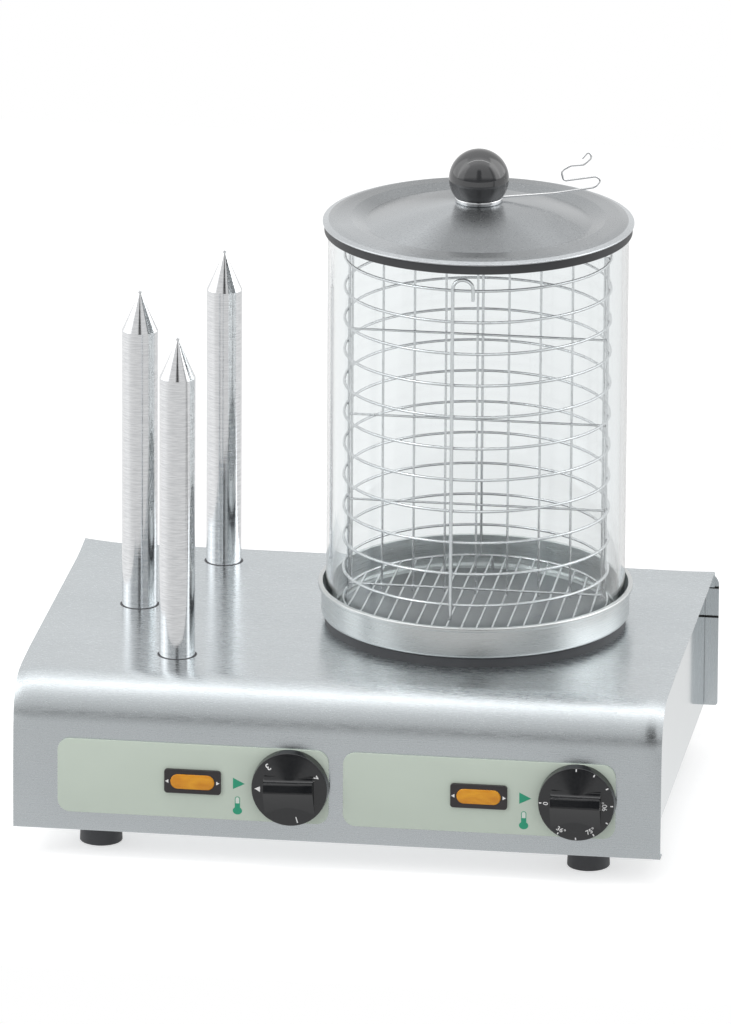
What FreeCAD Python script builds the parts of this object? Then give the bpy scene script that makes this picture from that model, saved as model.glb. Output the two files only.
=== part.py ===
import FreeCAD, Part
import math
import os
import re
import Sketcher

# Hot dog steamer with three heated bun spikes, in millimetres, +Z up.
# The origin lies on the surface that the feet stand on, below the middle of the whole machine.
# The control panel faces -Y, and +X is on the right of someone who stands in front of it.

DIMENSIONS = {
    # bent sheet housing
    "hood_width": 432, "hood_depth": 300, "hood_height": 104, "hood_sheet": 1, "front_y": -145,
    "front_bend": 30, "rear_bend": 4, "hood_corner": 3, "rear_flange": 12, "front_lip": 10,
    "ground_gap": 20,
    "sheet_gap": 0.1, "wall_inset": 6.5, "wall_sheet": 1, "wall_lift": 8.5, "weld_flange": 12,
    "rear_overhang": 2.8, "rear_sheet": 1, "rear_corner": 9, "rear_foot_corner": 2, "rear_drop": 1,
    "notch_tall": 1.5, "notch_deep": 0.6, "upper_notch_drop": 12.2, "lower_notch_drop": 33,
    "vent_wide": 3,
    "vent_tall": 40, "vent_pitch": 12, "vent_count": 12, "tray_sheet": 1, "tray_flange": 10,
    "tray_vent_long": 60, "tray_vent_count": 8,
    # feet
    "foot_side_inset": 52.5, "foot_front_inset": 41, "foot_rear_inset": 41, "foot_radius": 14.3,
    "foot_top_radius": 12.9, "foot_round": 1, "foot_recess_radius": 6, "foot_recess": 8,
    "foot_screw_radius": 2.5, "screw_slack": 0.1, "foot_nut_tall": 4, "foot_nut_across": 8,
    "hex_corner": 1.15,
    "screw_head_radius": 4.4, "screw_head_tall": 2.6,
    # screws that hold the rear panel
    "rear_screw_radius": 1.75, "rear_screw_head": 3.5, "rear_screw_head_tall": 2,
    "rear_screw_long": 8, "rear_screw_side_inset": 26, "rear_screw_top": 6, "rear_screw_base": 5,
    # control plates, lamps and knobs
    "control_z": 38.6, "plate_gap": 9.6, "plate_wide": 181.2, "plate_tall": 51.2,
    "plate_thick": 1.2, "plate_corner": 8.5, "knob_offset": 65.4, "bezel_wide": 37.8,
    "bezel_tall": 18.3, "bezel_thick": 2, "bezel_corner": 3.5, "sleeve_wide": 33.6,
    "sleeve_tall": 14.6, "sleeve_long": 9, "lens_wide": 29.4, "lens_tall": 11.5,
    "lens_corner": 5.6, "lens_proud": 0.8, "lens_deep": 6, "lens_gap": 0.05, "lamp_long": 16,
    "lamp_blade": 8, "knob_radius": 25.7, "knob_face_radius": 25.2, "knob_deep": 10,
    "knob_gap": 0.5, "knob_wall": 2, "knob_round": 0.8, "grip_long": 34.8, "grip_proud": 9,
    "grip_thick": 6.4, "grip_root": 9, "grip_flare": 3, "grip_round": 1.2, "grip_skirt": 1,
    "grip_draft": 0.5, "hub_radius": 6,
    "shaft_radius": 3, "shaft_gap": 0.05, "shaft_hole": 5, "shaft_front": 13.5,
    "shaft_in_body": 9, "shaft_flat": 2.2, "shaft_flat_long": 9,
    # regulator and thermostat behind the control plates
    "switch_wide": 40, "switch_tall": 36, "switch_deep": 30, "switch_screw_x": 14,
    "switch_screw_radius": 1.9, "switch_screw_bore": 2, "switch_screw_deep": 7,
    "switch_screw_head": 3.6, "switch_corner": 2, "switch_screw_head_tall": 2.2,
    "blade_wide": 6.3, "blade_thick": 0.8,
    "blade_long": 9, "blade_pitch": 18, "capillary_radius": 1, "bulb_radius": 3, "bulb_long": 60,
    "capillary_x": 9, "capillary_run": 24, "capillary_bend": 10,
    # heated well: seat ring, hot plate and element
    "steam_side_inset": 146.5, "steam_inset": 169, "seat_tall": 6.5, "seat_radius": 100.7,
    "seat_inner": 93, "plate_hole": 91.5, "hot_radius": 90, "hot_thick": 10, "element_radius": 62,
    "element_thick": 7, "bridge_long": 224, "bridge_wide": 24, "bridge_sheet": 2,
    "bridge_flange": 14, "stud_radius": 3, "stud_long": 14, "nut_across": 5,
    "nut_tall": 4, "weld_stud_radius": 2, "weld_stud_long": 9,
    # water pan and glass
    "pan_wall_radius": 103.2, "pan_sheet": 1, "pan_tall": 22, "pan_rim_radius": 105.3,
    "pan_rim_tall": 3, "pan_rim_under": 0.6, "pan_rim_round": 0.9, "pan_corner": 2.5,
    "glass_radius": 100, "glass_wall": 4,
    "glass_tall": 270, "glass_edge": 1,
    # lid
    "lid_radius": 103.5, "lid_sheet": 0.8, "lid_rim_round": 0.7, "ridge_radius": 84.5,
    "ridge_rise": 2.7, "crease_radius": 75.5, "crease_rise": -0.4, "dome_rise": 13.4,
    "dome_mid_radius": 46, "dome_mid_rise": 9, "dome_flat": 18, "dome_top_round": 60,
    "dome_round": 150, "crease_round": 1.5, "ridge_round": 3, "rim_fold_radius": 95.5,
    "rim_fold_rise": 2.3, "rim_fold_round": 12, "seal_outer": 102.4,
    "seal_inner": 95.5, "seal_pad": 0.8, "seal_skirt": 6.2, "seal_gap": 0.4,
    "ball_radius": 20, "ball_base": 15.8, "collar_radius": 15.8, "collar_lip": 1,
    "collar_tall": 3.4, "lid_screw_radius": 2.5, "lid_screw_head": 4.5,
    "lid_screw_head_tall": 2.5, "lid_screw_deep": 12, "lid_wire_radius": 0.75,
    "lid_wire_turn": 21.8, "lid_wire_gap": 0.02,
    # wire basket
    "ring_radius": 88.5, "wire_radius": 0.95, "thin_wire_radius": 0.8, "weld_depth": 0.4,
    "cage_weld": 0.1,
    "ring_pitch": 21.75, "ring_count": 11, "basket_lift": 10.4, "grid_pitch": 10,
    "grid_count": 17, "divider_pitch_x": 21.15, "divider_count_x": 9, "divider_pitch_z": 59.4,
    "divider_count_z": 5, "divider_rise": 4.7, "post_shift": 7.7, "rod_radius": 1.2,
    "rod_shift": 4.6, "rod_rise": 11.8, "hook_radius": 6.7, "hook_top": 248.5, "hook_tip": 7.5,
    # bun spikes
    "spike_radius": 12, "spike_side_inset": 58, "spike_step": 41.5, "spike_front_inset": 66.5,
    "spike_rear_inset": 28.5, "spike_tall": 220, "cone_tall": 27.5, "tip_radius": 1.25,
    "tip_neck": 0.8,
    "spike_bore": 4.1, "spike_stud": 8, "spike_stud_long": 13, "heater_radius": 4,
    "heater_tail": 4, "heater_long": 205, "collar_gap": 0.1, "spike_hole": 13.2,
    "spike_collar_radius": 15.5, "spike_collar_tall": 1.2, "bracket_drop": 28,
    "bracket_sheet": 1.5, "bracket_flange": 10, "bracket_edge": 17, "spike_nut_across": 12,
    "spike_nut_tall": 6,
    # mains connection
    "block_long": 50, "block_wide": 20, "block_tall": 15, "block_x": -30, "block_rear": 50,
    "block_screw_radius": 2.4, "gland_side_inset": 96, "gland_z": 30, "gland_radius": 8,
    "gland_hex": 10.5, "gland_bore": 3.8, "gland_proud": 7, "gland_long": 12, "gland_nut_tall": 4,
}

# Share of a half width that an end is rounded with, so that a short straight is left.
NEARLY = 0.98

WORD = re.compile(r"[a-z][a-z_]*")

# Places that several parts share, as expressions of the sheet's sizes.
BASE = "ground_gap"
TOP = "(ground_gap + hood_height)"
REAR = "(front_y + hood_depth)"
WALL_BASE = "(ground_gap + wall_lift)"
WALL_OUT = "(hood_width / 2 - wall_inset)"
WALL_IN = "(hood_width / 2 - wall_inset - wall_sheet)"
PLATE_FACE = "(front_y - plate_thick)"
CONTROL_Z = "(ground_gap + control_z)"
STEAM_X = "(hood_width / 2 - steam_side_inset)"
STEAM_Y = "(front_y + steam_inset)"
GLAND_X = "(gland_side_inset - hood_width / 2)"
REAR_SCREW_X = "(hood_width / 2 - rear_screw_side_inset)"
PAN_BASE = "(ground_gap + hood_height + seat_tall)"
GLASS_BASE = "(ground_gap + hood_height + seat_tall + pan_sheet)"
LID_SEAT = "(ground_gap + hood_height + seat_tall + pan_sheet + glass_tall + seal_pad)"
BRACKET_Z = "(ground_gap + hood_height - bracket_drop)"

doc = FreeCAD.newDocument("HotDogSteamer")
sheet = doc.addObject("Spreadsheet::Sheet", "sizes")
for row, (alias, number) in enumerate(DIMENSIONS.items(), start=1):
    sheet.set(f"A{row}", alias)
    sheet.set(f"B{row}", str(number))
    sheet.setAlias(f"B{row}", alias)
doc.recompute()

parts = {}


def bound(text):
    """The expression with each size's name pointing at its cell."""
    return WORD.sub(lambda found: f"sizes.{found.group()}" if found.group() in DIMENSIONS
                    else found.group(), str(text))


def number_of(text):
    """The present value of an expression."""
    return float(sheet.evalExpression(bound(text)))


def bind(thing, field, text):
    thing.setExpression(field, bound(text))


def place(thing, x="0", y="0", z="0"):
    for axis, text in zip("xyz", (x, y, z)):
        bind(thing, f"Placement.Base.{axis}", text)


# ---- sketches -------------------------------------------------------------------------------

def pin_point(sketch, geometry, position, x, y):
    """Hold one sketch point at the place that two expressions give."""
    for kind, text in (("DistanceX", x), ("DistanceY", y)):
        constraint = Sketcher.Constraint(kind, -1, 1, geometry, position, number_of(text))
        index = sketch.addConstraint(constraint)
        sketch.setExpression(f"Constraints[{index}]", bound(text))


def hole(x, y, radius):
    """A circle loop."""
    def draw(sketch):
        centre = FreeCAD.Vector(number_of(x), number_of(y), 0)
        circle = Part.Circle(centre, FreeCAD.Vector(0, 0, 1), number_of(radius))
        index = sketch.addGeometry(circle)
        pin_point(sketch, index, 3, x, y)
        held = sketch.addConstraint(Sketcher.Constraint("Radius", index, number_of(radius)))
        sketch.setExpression(f"Constraints[{held}]", bound(radius))
    return draw


def outline(*corners):
    """A closed loop of straight edges. A corner (x, y, radius) is rounded with that radius."""
    def draw(sketch):
        spots = [FreeCAD.Vector(number_of(c[0]), number_of(c[1]), 0) for c in corners]
        radii = [number_of(c[2]) if len(c) > 2 else 0 for c in corners]
        count = len(corners)
        arrive, leave, arcs = [], [], {}
        for i in range(count):
            back = (spots[i - 1] - spots[i]).normalize()
            ahead = (spots[(i + 1) % count] - spots[i]).normalize()
            if not radii[i]:
                arrive.append(spots[i])
                leave.append(spots[i])
                continue
            half = back.getAngle(ahead) / 2
            reach = radii[i] / math.tan(half)
            arrive.append(spots[i] + back * reach)
            leave.append(spots[i] + ahead * reach)
            middle = (back + ahead).normalize() * (radii[i] / math.sin(half)) + spots[i]
            turns_left = (spots[i] - spots[i - 1]).cross(spots[(i + 1) % count] - spots[i]).z > 0
            arcs[i] = (middle, turns_left)
        lines = [sketch.addGeometry(Part.LineSegment(leave[i], arrive[(i + 1) % count]))
                 for i in range(count)]
        for i in range(count):
            before, after = lines[i - 1], lines[i]
            if i not in arcs:
                sketch.addConstraint(Sketcher.Constraint("Coincident", before, 2, after, 1))
                pin_point(sketch, after, 1, corners[i][0], corners[i][1])
                continue
            middle, turns_left = arcs[i]
            first, last = (arrive[i], leave[i]) if turns_left else (leave[i], arrive[i])
            start = math.atan2(first.y - middle.y, first.x - middle.x)
            end = math.atan2(last.y - middle.y, last.x - middle.x)
            circle = Part.Circle(middle, FreeCAD.Vector(0, 0, 1), radii[i])
            arc = sketch.addGeometry(Part.ArcOfCircle(circle, start, end))
            near, far = (1, 2) if turns_left else (2, 1)
            corner = sketch.addGeometry(Part.Point(spots[i]), True)
            sketch.addConstraint([
                Sketcher.Constraint("Tangent", before, 2, arc, near),
                Sketcher.Constraint("Tangent", arc, far, after, 1),
                Sketcher.Constraint("PointOnObject", corner, 1, before),
                Sketcher.Constraint("PointOnObject", corner, 1, after)])
            pin_point(sketch, corner, 1, corners[i][0], corners[i][1])
            held = sketch.addConstraint(Sketcher.Constraint("Radius", arc, radii[i]))
            sketch.setExpression(f"Constraints[{held}]", bound(corners[i][2]))
    return draw


def block(x_low, x_high, y_low, y_high, radius=None):
    """A rectangular loop, with rounded corners where a radius is given."""
    corners = [(x_low, y_low), (x_high, y_low), (x_high, y_high), (x_low, y_high)]
    if radius:
        corners = [(x, y, radius) for x, y in corners]
    return outline(*corners)


def centred(x, y, wide, tall, radius=None):
    """A rectangular loop about its centre."""
    return block(f"{x} - {wide} / 2", f"{x} + {wide} / 2",
                 f"{y} - {tall} / 2", f"{y} + {tall} / 2", radius)


def open_path(*corners):
    """A wire of straight runs with rounded corners, for a pipe to follow."""
    def draw(sketch):
        spots = [FreeCAD.Vector(number_of(c[0]), number_of(c[1]), 0) for c in corners]
        start, before = spots[0], None
        for i in range(1, len(corners)):
            end = spots[i]
            if i == len(corners) - 1:
                line = sketch.addGeometry(Part.LineSegment(start, end))
                join(sketch, before, line)
                continue
            radius = number_of(corners[i][2])
            back = (spots[i - 1] - end).normalize()
            ahead = (spots[i + 1] - end).normalize()
            half = back.getAngle(ahead) / 2
            reach = radius / math.tan(half)
            middle = (back + ahead).normalize() * (radius / math.sin(half)) + end
            line = sketch.addGeometry(Part.LineSegment(start, end + back * reach))
            join(sketch, before, line)
            turns_left = (end - spots[i - 1]).cross(spots[i + 1] - end).z > 0
            tangents = [end + back * reach, end + ahead * reach]
            first, last = tangents if turns_left else tangents[::-1]
            circle = Part.Circle(middle, FreeCAD.Vector(0, 0, 1), radius)
            arc = sketch.addGeometry(Part.ArcOfCircle(
                circle, math.atan2(first.y - middle.y, first.x - middle.x),
                math.atan2(last.y - middle.y, last.x - middle.x)))
            sketch.addConstraint(
                Sketcher.Constraint("Tangent", line, 2, arc, 1 if turns_left else 2))
            held = sketch.addConstraint(Sketcher.Constraint("Radius", arc, radius))
            sketch.setExpression(f"Constraints[{held}]", bound(corners[i][2]))
            corner = sketch.addGeometry(Part.Point(end), True)
            sketch.addConstraint(Sketcher.Constraint("PointOnObject", corner, 1, line))
            pin_point(sketch, corner, 1, corners[i][0], corners[i][1])
            if i == 1:
                pin_point(sketch, line, 1, corners[0][0], corners[0][1])
            start, before = tangents[1], (arc, 2 if turns_left else 1, corner)
        pin_point(sketch, line, 2, corners[-1][0], corners[-1][1])
    return draw


def join(sketch, before, line):
    """Start a run of an open path where the last bend ends."""
    if before:
        arc, end, corner = before
        sketch.addConstraint([
            Sketcher.Constraint("Tangent", arc, end, line, 1),
            Sketcher.Constraint("PointOnObject", corner, 1, line)])


def add_sketch(body, plane, level, loops, name):
    sketch = body.newObject("Sketcher::SketchObject", name)
    support = next(f for f in body.Origin.OriginFeatures if f.Role == plane)
    sketch.AttachmentSupport = [(support, "")]
    sketch.MapMode = "FlatFace"
    bind(sketch, "AttachmentOffset.Base.z", level)
    for draw in loops:
        draw(sketch)
    return sketch


# ---- features -------------------------------------------------------------------------------

def new_body(label, x="0", y="0", z="0"):
    body = doc.addObject("PartDesign::Body", label)
    body.Label = label
    place(body, x, y, z)
    parts[label] = body
    return body


def pad(body, plane, low, high, *loops):
    """Add the loops from low to high along the plane's axis. The XZ plane's normal is -Y."""
    level = f"-({high})" if plane == "XZ_Plane" else low
    feature = body.newObject("PartDesign::Pad", "Pad")
    feature.Profile = add_sketch(body, plane, level, loops, "PadSketch")
    bind(feature, "Length", f"({high}) - ({low})")
    body.Tip = feature
    return feature


def pocket(body, plane, low, high, *loops):
    """Cut the loops from high to low along the plane's axis."""
    level = f"-({low})" if plane == "XZ_Plane" else high
    feature = body.newObject("PartDesign::Pocket", "Pocket")
    feature.Profile = add_sketch(body, plane, level, loops, "PocketSketch")
    bind(feature, "Length", f"({high}) - ({low})")
    body.Tip = feature
    return feature


def revolve(body, *loops, plane="XZ_Plane"):
    """Turn a section about the sketch's upright axis."""
    feature = body.newObject("PartDesign::Revolution", "Revolution")
    sketch = add_sketch(body, plane, "0", loops, "SectionSketch")
    feature.Profile = sketch
    feature.ReferenceAxis = (sketch, ["V_Axis"])
    feature.Angle = 360
    body.Tip = feature
    return feature


def repeat(body, feature, axis, pitch, count):
    """Repeat a feature along one axis of its own sketch. The body's tip is the pattern."""
    pattern = body.newObject("PartDesign::LinearPattern", "Pattern")
    pattern.Originals = [feature]
    pattern.Direction = (feature.Profile[0], [axis])
    bind(pattern, "Length", f"({pitch}) * (({count}) - 1)")
    bind(pattern, "Occurrences", count)
    body.Tip = pattern
    return pattern


def pipe(body, section_plane, section_level, section, path_plane, path_level, path):
    """Sweep a round section along a path."""
    feature = body.newObject("PartDesign::AdditivePipe", "Pipe")
    feature.Profile = add_sketch(body, section_plane, section_level, [section], "PipeSection")
    spine = add_sketch(body, path_plane, path_level, [path], "PipePath")
    feature.Spine = (spine, [])
    body.Tip = feature
    return feature


def rod(name, radius, length, x, y, z, along="Z"):
    """A plain cylinder that starts at a place and runs along +Z or +Y."""
    cylinder = doc.addObject("Part::Cylinder", name)
    bind(cylinder, "Radius", radius)
    bind(cylinder, "Height", length)
    if along == "Y":
        cylinder.Placement.Rotation = FreeCAD.Rotation(FreeCAD.Vector(1, 0, 0), -90)
    place(cylinder, x, y, z)
    return cylinder


def hexagon(name, across, length, x, y, z, along="Z"):
    """A hexagonal prism, sized to its corners, that starts at a place and runs along +Z or +Y."""
    prism = doc.addObject("Part::Prism", name)
    prism.Polygon = 6
    bind(prism, "Circumradius", across)
    bind(prism, "Height", length)
    if along == "Y":
        prism.Placement.Rotation = FreeCAD.Rotation(FreeCAD.Vector(1, 0, 0), -90)
    place(prism, x, y, z)
    return prism


def fuse(name, *shapes):
    feature = doc.addObject("Part::MultiFuse", name)
    feature.Shapes = list(shapes)
    return feature


def cut(name, base, tool):
    feature = doc.addObject("Part::Cut", name)
    feature.Base = base
    feature.Tool = tool
    return feature


def group(label, members):
    """Several separate solids of one kind, kept together."""
    feature = doc.addObject("Part::Compound", label)
    feature.Label = label
    feature.Links = members
    parts[label] = feature
    return feature


def keep(label, feature):
    feature.Label = label
    parts[label] = feature


# ---- housing --------------------------------------------------------------------------------

OUTER_SPIKE_X = "(spike_side_inset - hood_width / 2)"
INNER_SPIKE_X = "(spike_side_inset + spike_step - hood_width / 2)"
FRONT_SPIKE_Y = "(front_y + spike_front_inset)"
REAR_SPIKE_Y = f"({REAR} - spike_rear_inset)"
SPIKES = {
    "left_spike": (OUTER_SPIKE_X, f"(({FRONT_SPIKE_Y} + {REAR_SPIKE_Y}) / 2)"),
    "front_spike": (INNER_SPIKE_X, FRONT_SPIKE_Y),
    "rear_spike": (INNER_SPIKE_X, REAR_SPIKE_Y),
}
SIDES = {"left": "-1", "right": "1"}
FOOT_X = "(hood_width / 2 - foot_side_inset)"
FEET = {
    "front_left_foot": (f"-{FOOT_X}", "(front_y + foot_front_inset)"),
    "front_right_foot": (FOOT_X, "(front_y + foot_front_inset)"),
    "rear_left_foot": (f"-{FOOT_X}", f"({REAR} - foot_rear_inset)"),
    "rear_right_foot": (FOOT_X, f"({REAR} - foot_rear_inset)"),
}


def plate_centre(side):
    return f"({SIDES[side]} * (plate_wide + plate_gap) / 2)"


def knob_centre(side):
    return f"({SIDES[side]} * (plate_wide + plate_gap) / 2 + knob_offset)"


def make_hood():
    """One sheet: front with a turned-in lip, wide front bend, flat top, tight bend, rear flange."""
    body = new_body("hood")
    inner_front = "front_y + hood_sheet"
    inner_rear = f"{REAR} - hood_sheet"
    under = f"{TOP} - hood_sheet"
    pad(body, "YZ_Plane", "-hood_width / 2", "hood_width / 2", outline(
        ("front_y", BASE, "hood_sheet"), ("front_y", TOP, "front_bend"),
        (REAR, TOP, "rear_bend"), (REAR, f"{TOP} - rear_flange"),
        (inner_rear, f"{TOP} - rear_flange"), (inner_rear, under, "rear_bend - hood_sheet"),
        (inner_front, under, "front_bend - hood_sheet"), (inner_front, f"{BASE} + hood_sheet"),
        ("front_y + front_lip", f"{BASE} + hood_sheet"), ("front_y + front_lip", BASE)))
    openings = [hole(STEAM_X, STEAM_Y, "plate_hole")]
    openings += [hole(x, y, "spike_hole") for x, y in SPIKES.values()]
    pocket(body, "XY_Plane", f"{TOP} - hood_sheet - 1", f"{TOP} + 1", *openings)
    fronts = [hole(knob_centre(side), CONTROL_Z, "shaft_hole") for side in SIDES]
    fronts += [hole(f"{knob_centre(side)} + {way} * switch_screw_x", CONTROL_Z,
                    "switch_screw_radius + screw_slack") for side in SIDES for way in (-1, 1)]
    fronts += [centred(plate_centre(side), CONTROL_Z, "sleeve_wide", "sleeve_tall")
               for side in SIDES]
    pocket(body, "XZ_Plane", "front_y - 1", f"{inner_front} + 1", *fronts)
    rears = [hole(f"{way} * {REAR_SCREW_X}", f"{TOP} - rear_screw_top - rear_bend + hood_sheet",
                  "rear_screw_radius + screw_slack") for way in (-1, 0, 1)]
    pocket(body, "XZ_Plane", f"{inner_rear} - 1", f"{REAR} + 1", *rears)
    reach = "hood_corner * 1.5"
    corners = []
    for way in (-1, 1):
        edge = f"{way} * hood_width / 2"
        spots = [(f"{edge} + {way}", f"{BASE} - 1"), (f"{edge} - {way} * {reach}", f"{BASE} - 1"),
                 (f"{edge} - {way} * {reach}", BASE), (edge, BASE, "hood_corner"),
                 (edge, f"{BASE} + {reach}"), (f"{edge} + {way}", f"{BASE} + {reach}")]
        corners.append(outline(*spots))
    pocket(body, "XZ_Plane", "front_y - 1", "front_y + front_lip + 1", *corners)


def make_side_wall(side):
    """A flat wall set in from the hood's edge, with a weld flange under the hood's top."""
    body = new_body(f"{side}_side_wall")
    sign = SIDES[side]
    front = "front_y + hood_sheet + sheet_gap"
    rear = f"{REAR} - hood_sheet - sheet_gap"
    top = f"{TOP} - hood_sheet - sheet_gap"
    low, high = (WALL_IN, WALL_OUT) if side == "right" else (f"-{WALL_OUT}", f"-{WALL_IN}")
    pad(body, "YZ_Plane", low, high, outline(
        (front, WALL_BASE), (rear, WALL_BASE), (rear, top, "rear_bend - hood_sheet"),
        (front, top, "front_bend - hood_sheet")))
    edge = sorted((f"{sign} * {WALL_IN}", f"{sign} * ({WALL_IN} - weld_flange)"), key=number_of)
    pad(body, "XY_Plane", f"{top} - wall_sheet", top, block(
        *edge, f"{front} + front_bend", f"{rear} - rear_bend - rear_flange"))


def make_rear_panel():
    """A flat panel wider than the hood, with vent slots, end grooves and the cable hole."""
    body = new_body("rear_panel")
    side = "(hood_width / 2 + rear_overhang)"
    top = f"({TOP} - rear_drop)"
    pad(body, "XZ_Plane", REAR, f"{REAR} + rear_sheet", outline(
        (f"-{side}", WALL_BASE, "rear_foot_corner"), (side, WALL_BASE, "rear_foot_corner"),
        (side, top, "rear_corner"), (f"-{side}", top, "rear_corner")))
    behind = f"{REAR} + rear_sheet + 1"
    notches = []
    for drop in ("upper_notch_drop", "lower_notch_drop"):
        level = f"({TOP} - {drop})"
        start = f"({WALL_OUT} + sheet_gap)"
        notches.append(block(start, f"{side} + 1", level, f"{level} + notch_tall"))
        notches.append(block(f"-{side} - 1", f"-{start}", level, f"{level} + notch_tall"))
    pocket(body, "XZ_Plane", f"{REAR} - 1", f"{REAR} + notch_deep", *notches)
    openings = [hole(GLAND_X, "ground_gap + gland_z", "gland_radius + screw_slack")]
    for way in (-1, 0, 1):
        for level in (f"{TOP} - rear_screw_top - rear_bend + hood_sheet",
                      f"{WALL_BASE} + rear_screw_base"):
            openings.append(hole(f"{way} * {REAR_SCREW_X}", level,
                                 "rear_screw_radius + screw_slack"))
    pocket(body, "XZ_Plane", f"{REAR} - 1", behind, *openings)
    first = "(-vent_pitch * (vent_count - 1) / 2)"
    slot = pocket(body, "XZ_Plane", f"{REAR} - 1", behind,
                  centred(first, CONTROL_Z, "vent_wide", "vent_tall",
                          f"vent_wide / 2 * {NEARLY}"))
    repeat(body, slot, "H_Axis", "vent_pitch", "vent_count")


def make_base_tray():
    """A shallow folded tray that closes the housing from below and carries the feet."""
    body = new_body("base_tray")
    side = f"({WALL_IN} - sheet_gap)"
    front = "(front_y + hood_sheet + sheet_gap)"
    rear = f"({REAR} - hood_sheet - sheet_gap)"
    pad(body, "XY_Plane", WALL_BASE, f"{WALL_BASE} + tray_flange",
        block(f"-{side}", side, front, rear))
    pocket(body, "XY_Plane", f"{WALL_BASE} + tray_sheet", f"{WALL_BASE} + tray_flange + 1",
           block(f"-{side} + tray_sheet", f"{side} - tray_sheet",
                 f"{front} + tray_sheet", f"{rear} - tray_sheet"))
    holes = [hole(x, y, "foot_screw_radius + screw_slack") for x, y in FEET.values()]
    holes += [hole(f"block_x + {way} * block_long / 2.5", f"{REAR} - block_rear",
                   "rear_screw_radius") for way in (-1, 1)]
    pocket(body, "XY_Plane", f"{WALL_BASE} - 1", f"{WALL_BASE} + tray_sheet + 1", *holes)
    screws = [hole(f"{way} * {REAR_SCREW_X}", f"{WALL_BASE} + rear_screw_base",
                   "rear_screw_radius + screw_slack") for way in (-1, 0, 1)]
    pocket(body, "XZ_Plane", f"{rear} - tray_sheet - 1", f"{rear} + 1", *screws)
    first = "(-vent_pitch * (tray_vent_count - 1) / 2)"
    slot = pocket(body, "XY_Plane", f"{WALL_BASE} - 1", f"{WALL_BASE} + tray_sheet + 1",
                  centred(first, "0", "vent_wide", "tray_vent_long",
                          f"vent_wide / 2 * {NEARLY}"))
    repeat(body, slot, "H_Axis", "vent_pitch", "tray_vent_count")


def make_feet():
    """Rubber feet that widen downwards, each with a screw up its recess and a nut in the tray."""
    screws, nuts = [], []
    for label, (x, y) in FEET.items():
        body = new_body(label, x, y)
        bore = "foot_screw_radius + screw_slack"
        revolve(body, outline(
            (bore, "foot_recess"), ("foot_recess_radius", "foot_recess"),
            ("foot_recess_radius", "0"), ("foot_radius", "0", "foot_round"),
            ("foot_top_radius", WALL_BASE), (bore, WALL_BASE)))
        head = rod("FootScrewHead", "screw_head_radius", "screw_head_tall", x, y,
                   "foot_recess - screw_head_tall")
        shank = rod("FootScrewShank", "foot_screw_radius",
                    f"{WALL_BASE} + tray_sheet + foot_nut_tall + 1 - foot_recess", x, y,
                    "foot_recess")
        screws.append(fuse("FootScrew", head, shank))
        nut = hexagon("FootNutBlank", "foot_nut_across / 2 * hex_corner", "foot_nut_tall", x, y,
                      f"{WALL_BASE} + tray_sheet")
        bore_tool = rod("FootNutBore", "foot_screw_radius", "foot_nut_tall", x, y,
                        f"{WALL_BASE} + tray_sheet")
        nuts.append(cut("FootNut", nut, bore_tool))
    group("foot_screws", screws)
    group("foot_nuts", nuts)


def make_rear_screws():
    """Three screws into the hood's rear flange and three into the tray's."""
    screws = []
    for way in (-1, 0, 1):
        for level in (f"{TOP} - rear_screw_top - rear_bend + hood_sheet",
                      f"{WALL_BASE} + rear_screw_base"):
            x = f"{way} * {REAR_SCREW_X}"
            head = rod("RearScrewHead", "rear_screw_head", "rear_screw_head_tall", x,
                       f"{REAR} + rear_sheet", level, "Y")
            shank = rod("RearScrewShank", "rear_screw_radius", "rear_screw_long", x,
                        f"{REAR} + rear_sheet - rear_screw_long", level, "Y")
            screws.append(fuse("RearScrew", head, shank))
    group("rear_panel_screws", screws)


# ---- controls -------------------------------------------------------------------------------

def make_control_plate(side):
    body = new_body(f"{side}_control_plate")
    centre = plate_centre(side)
    pad(body, "XZ_Plane", PLATE_FACE, "front_y",
        centred(centre, CONTROL_Z, "plate_wide", "plate_tall", "plate_corner"))
    openings = [centred(centre, CONTROL_Z, "sleeve_wide", "sleeve_tall"),
                hole(knob_centre(side), CONTROL_Z, "shaft_hole")]
    openings += [hole(f"{knob_centre(side)} + {way} * switch_screw_x", CONTROL_Z,
                      "switch_screw_radius + screw_slack") for way in (-1, 1)]
    pocket(body, "XZ_Plane", f"{PLATE_FACE} - 1", "front_y + 1", *openings)


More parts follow.
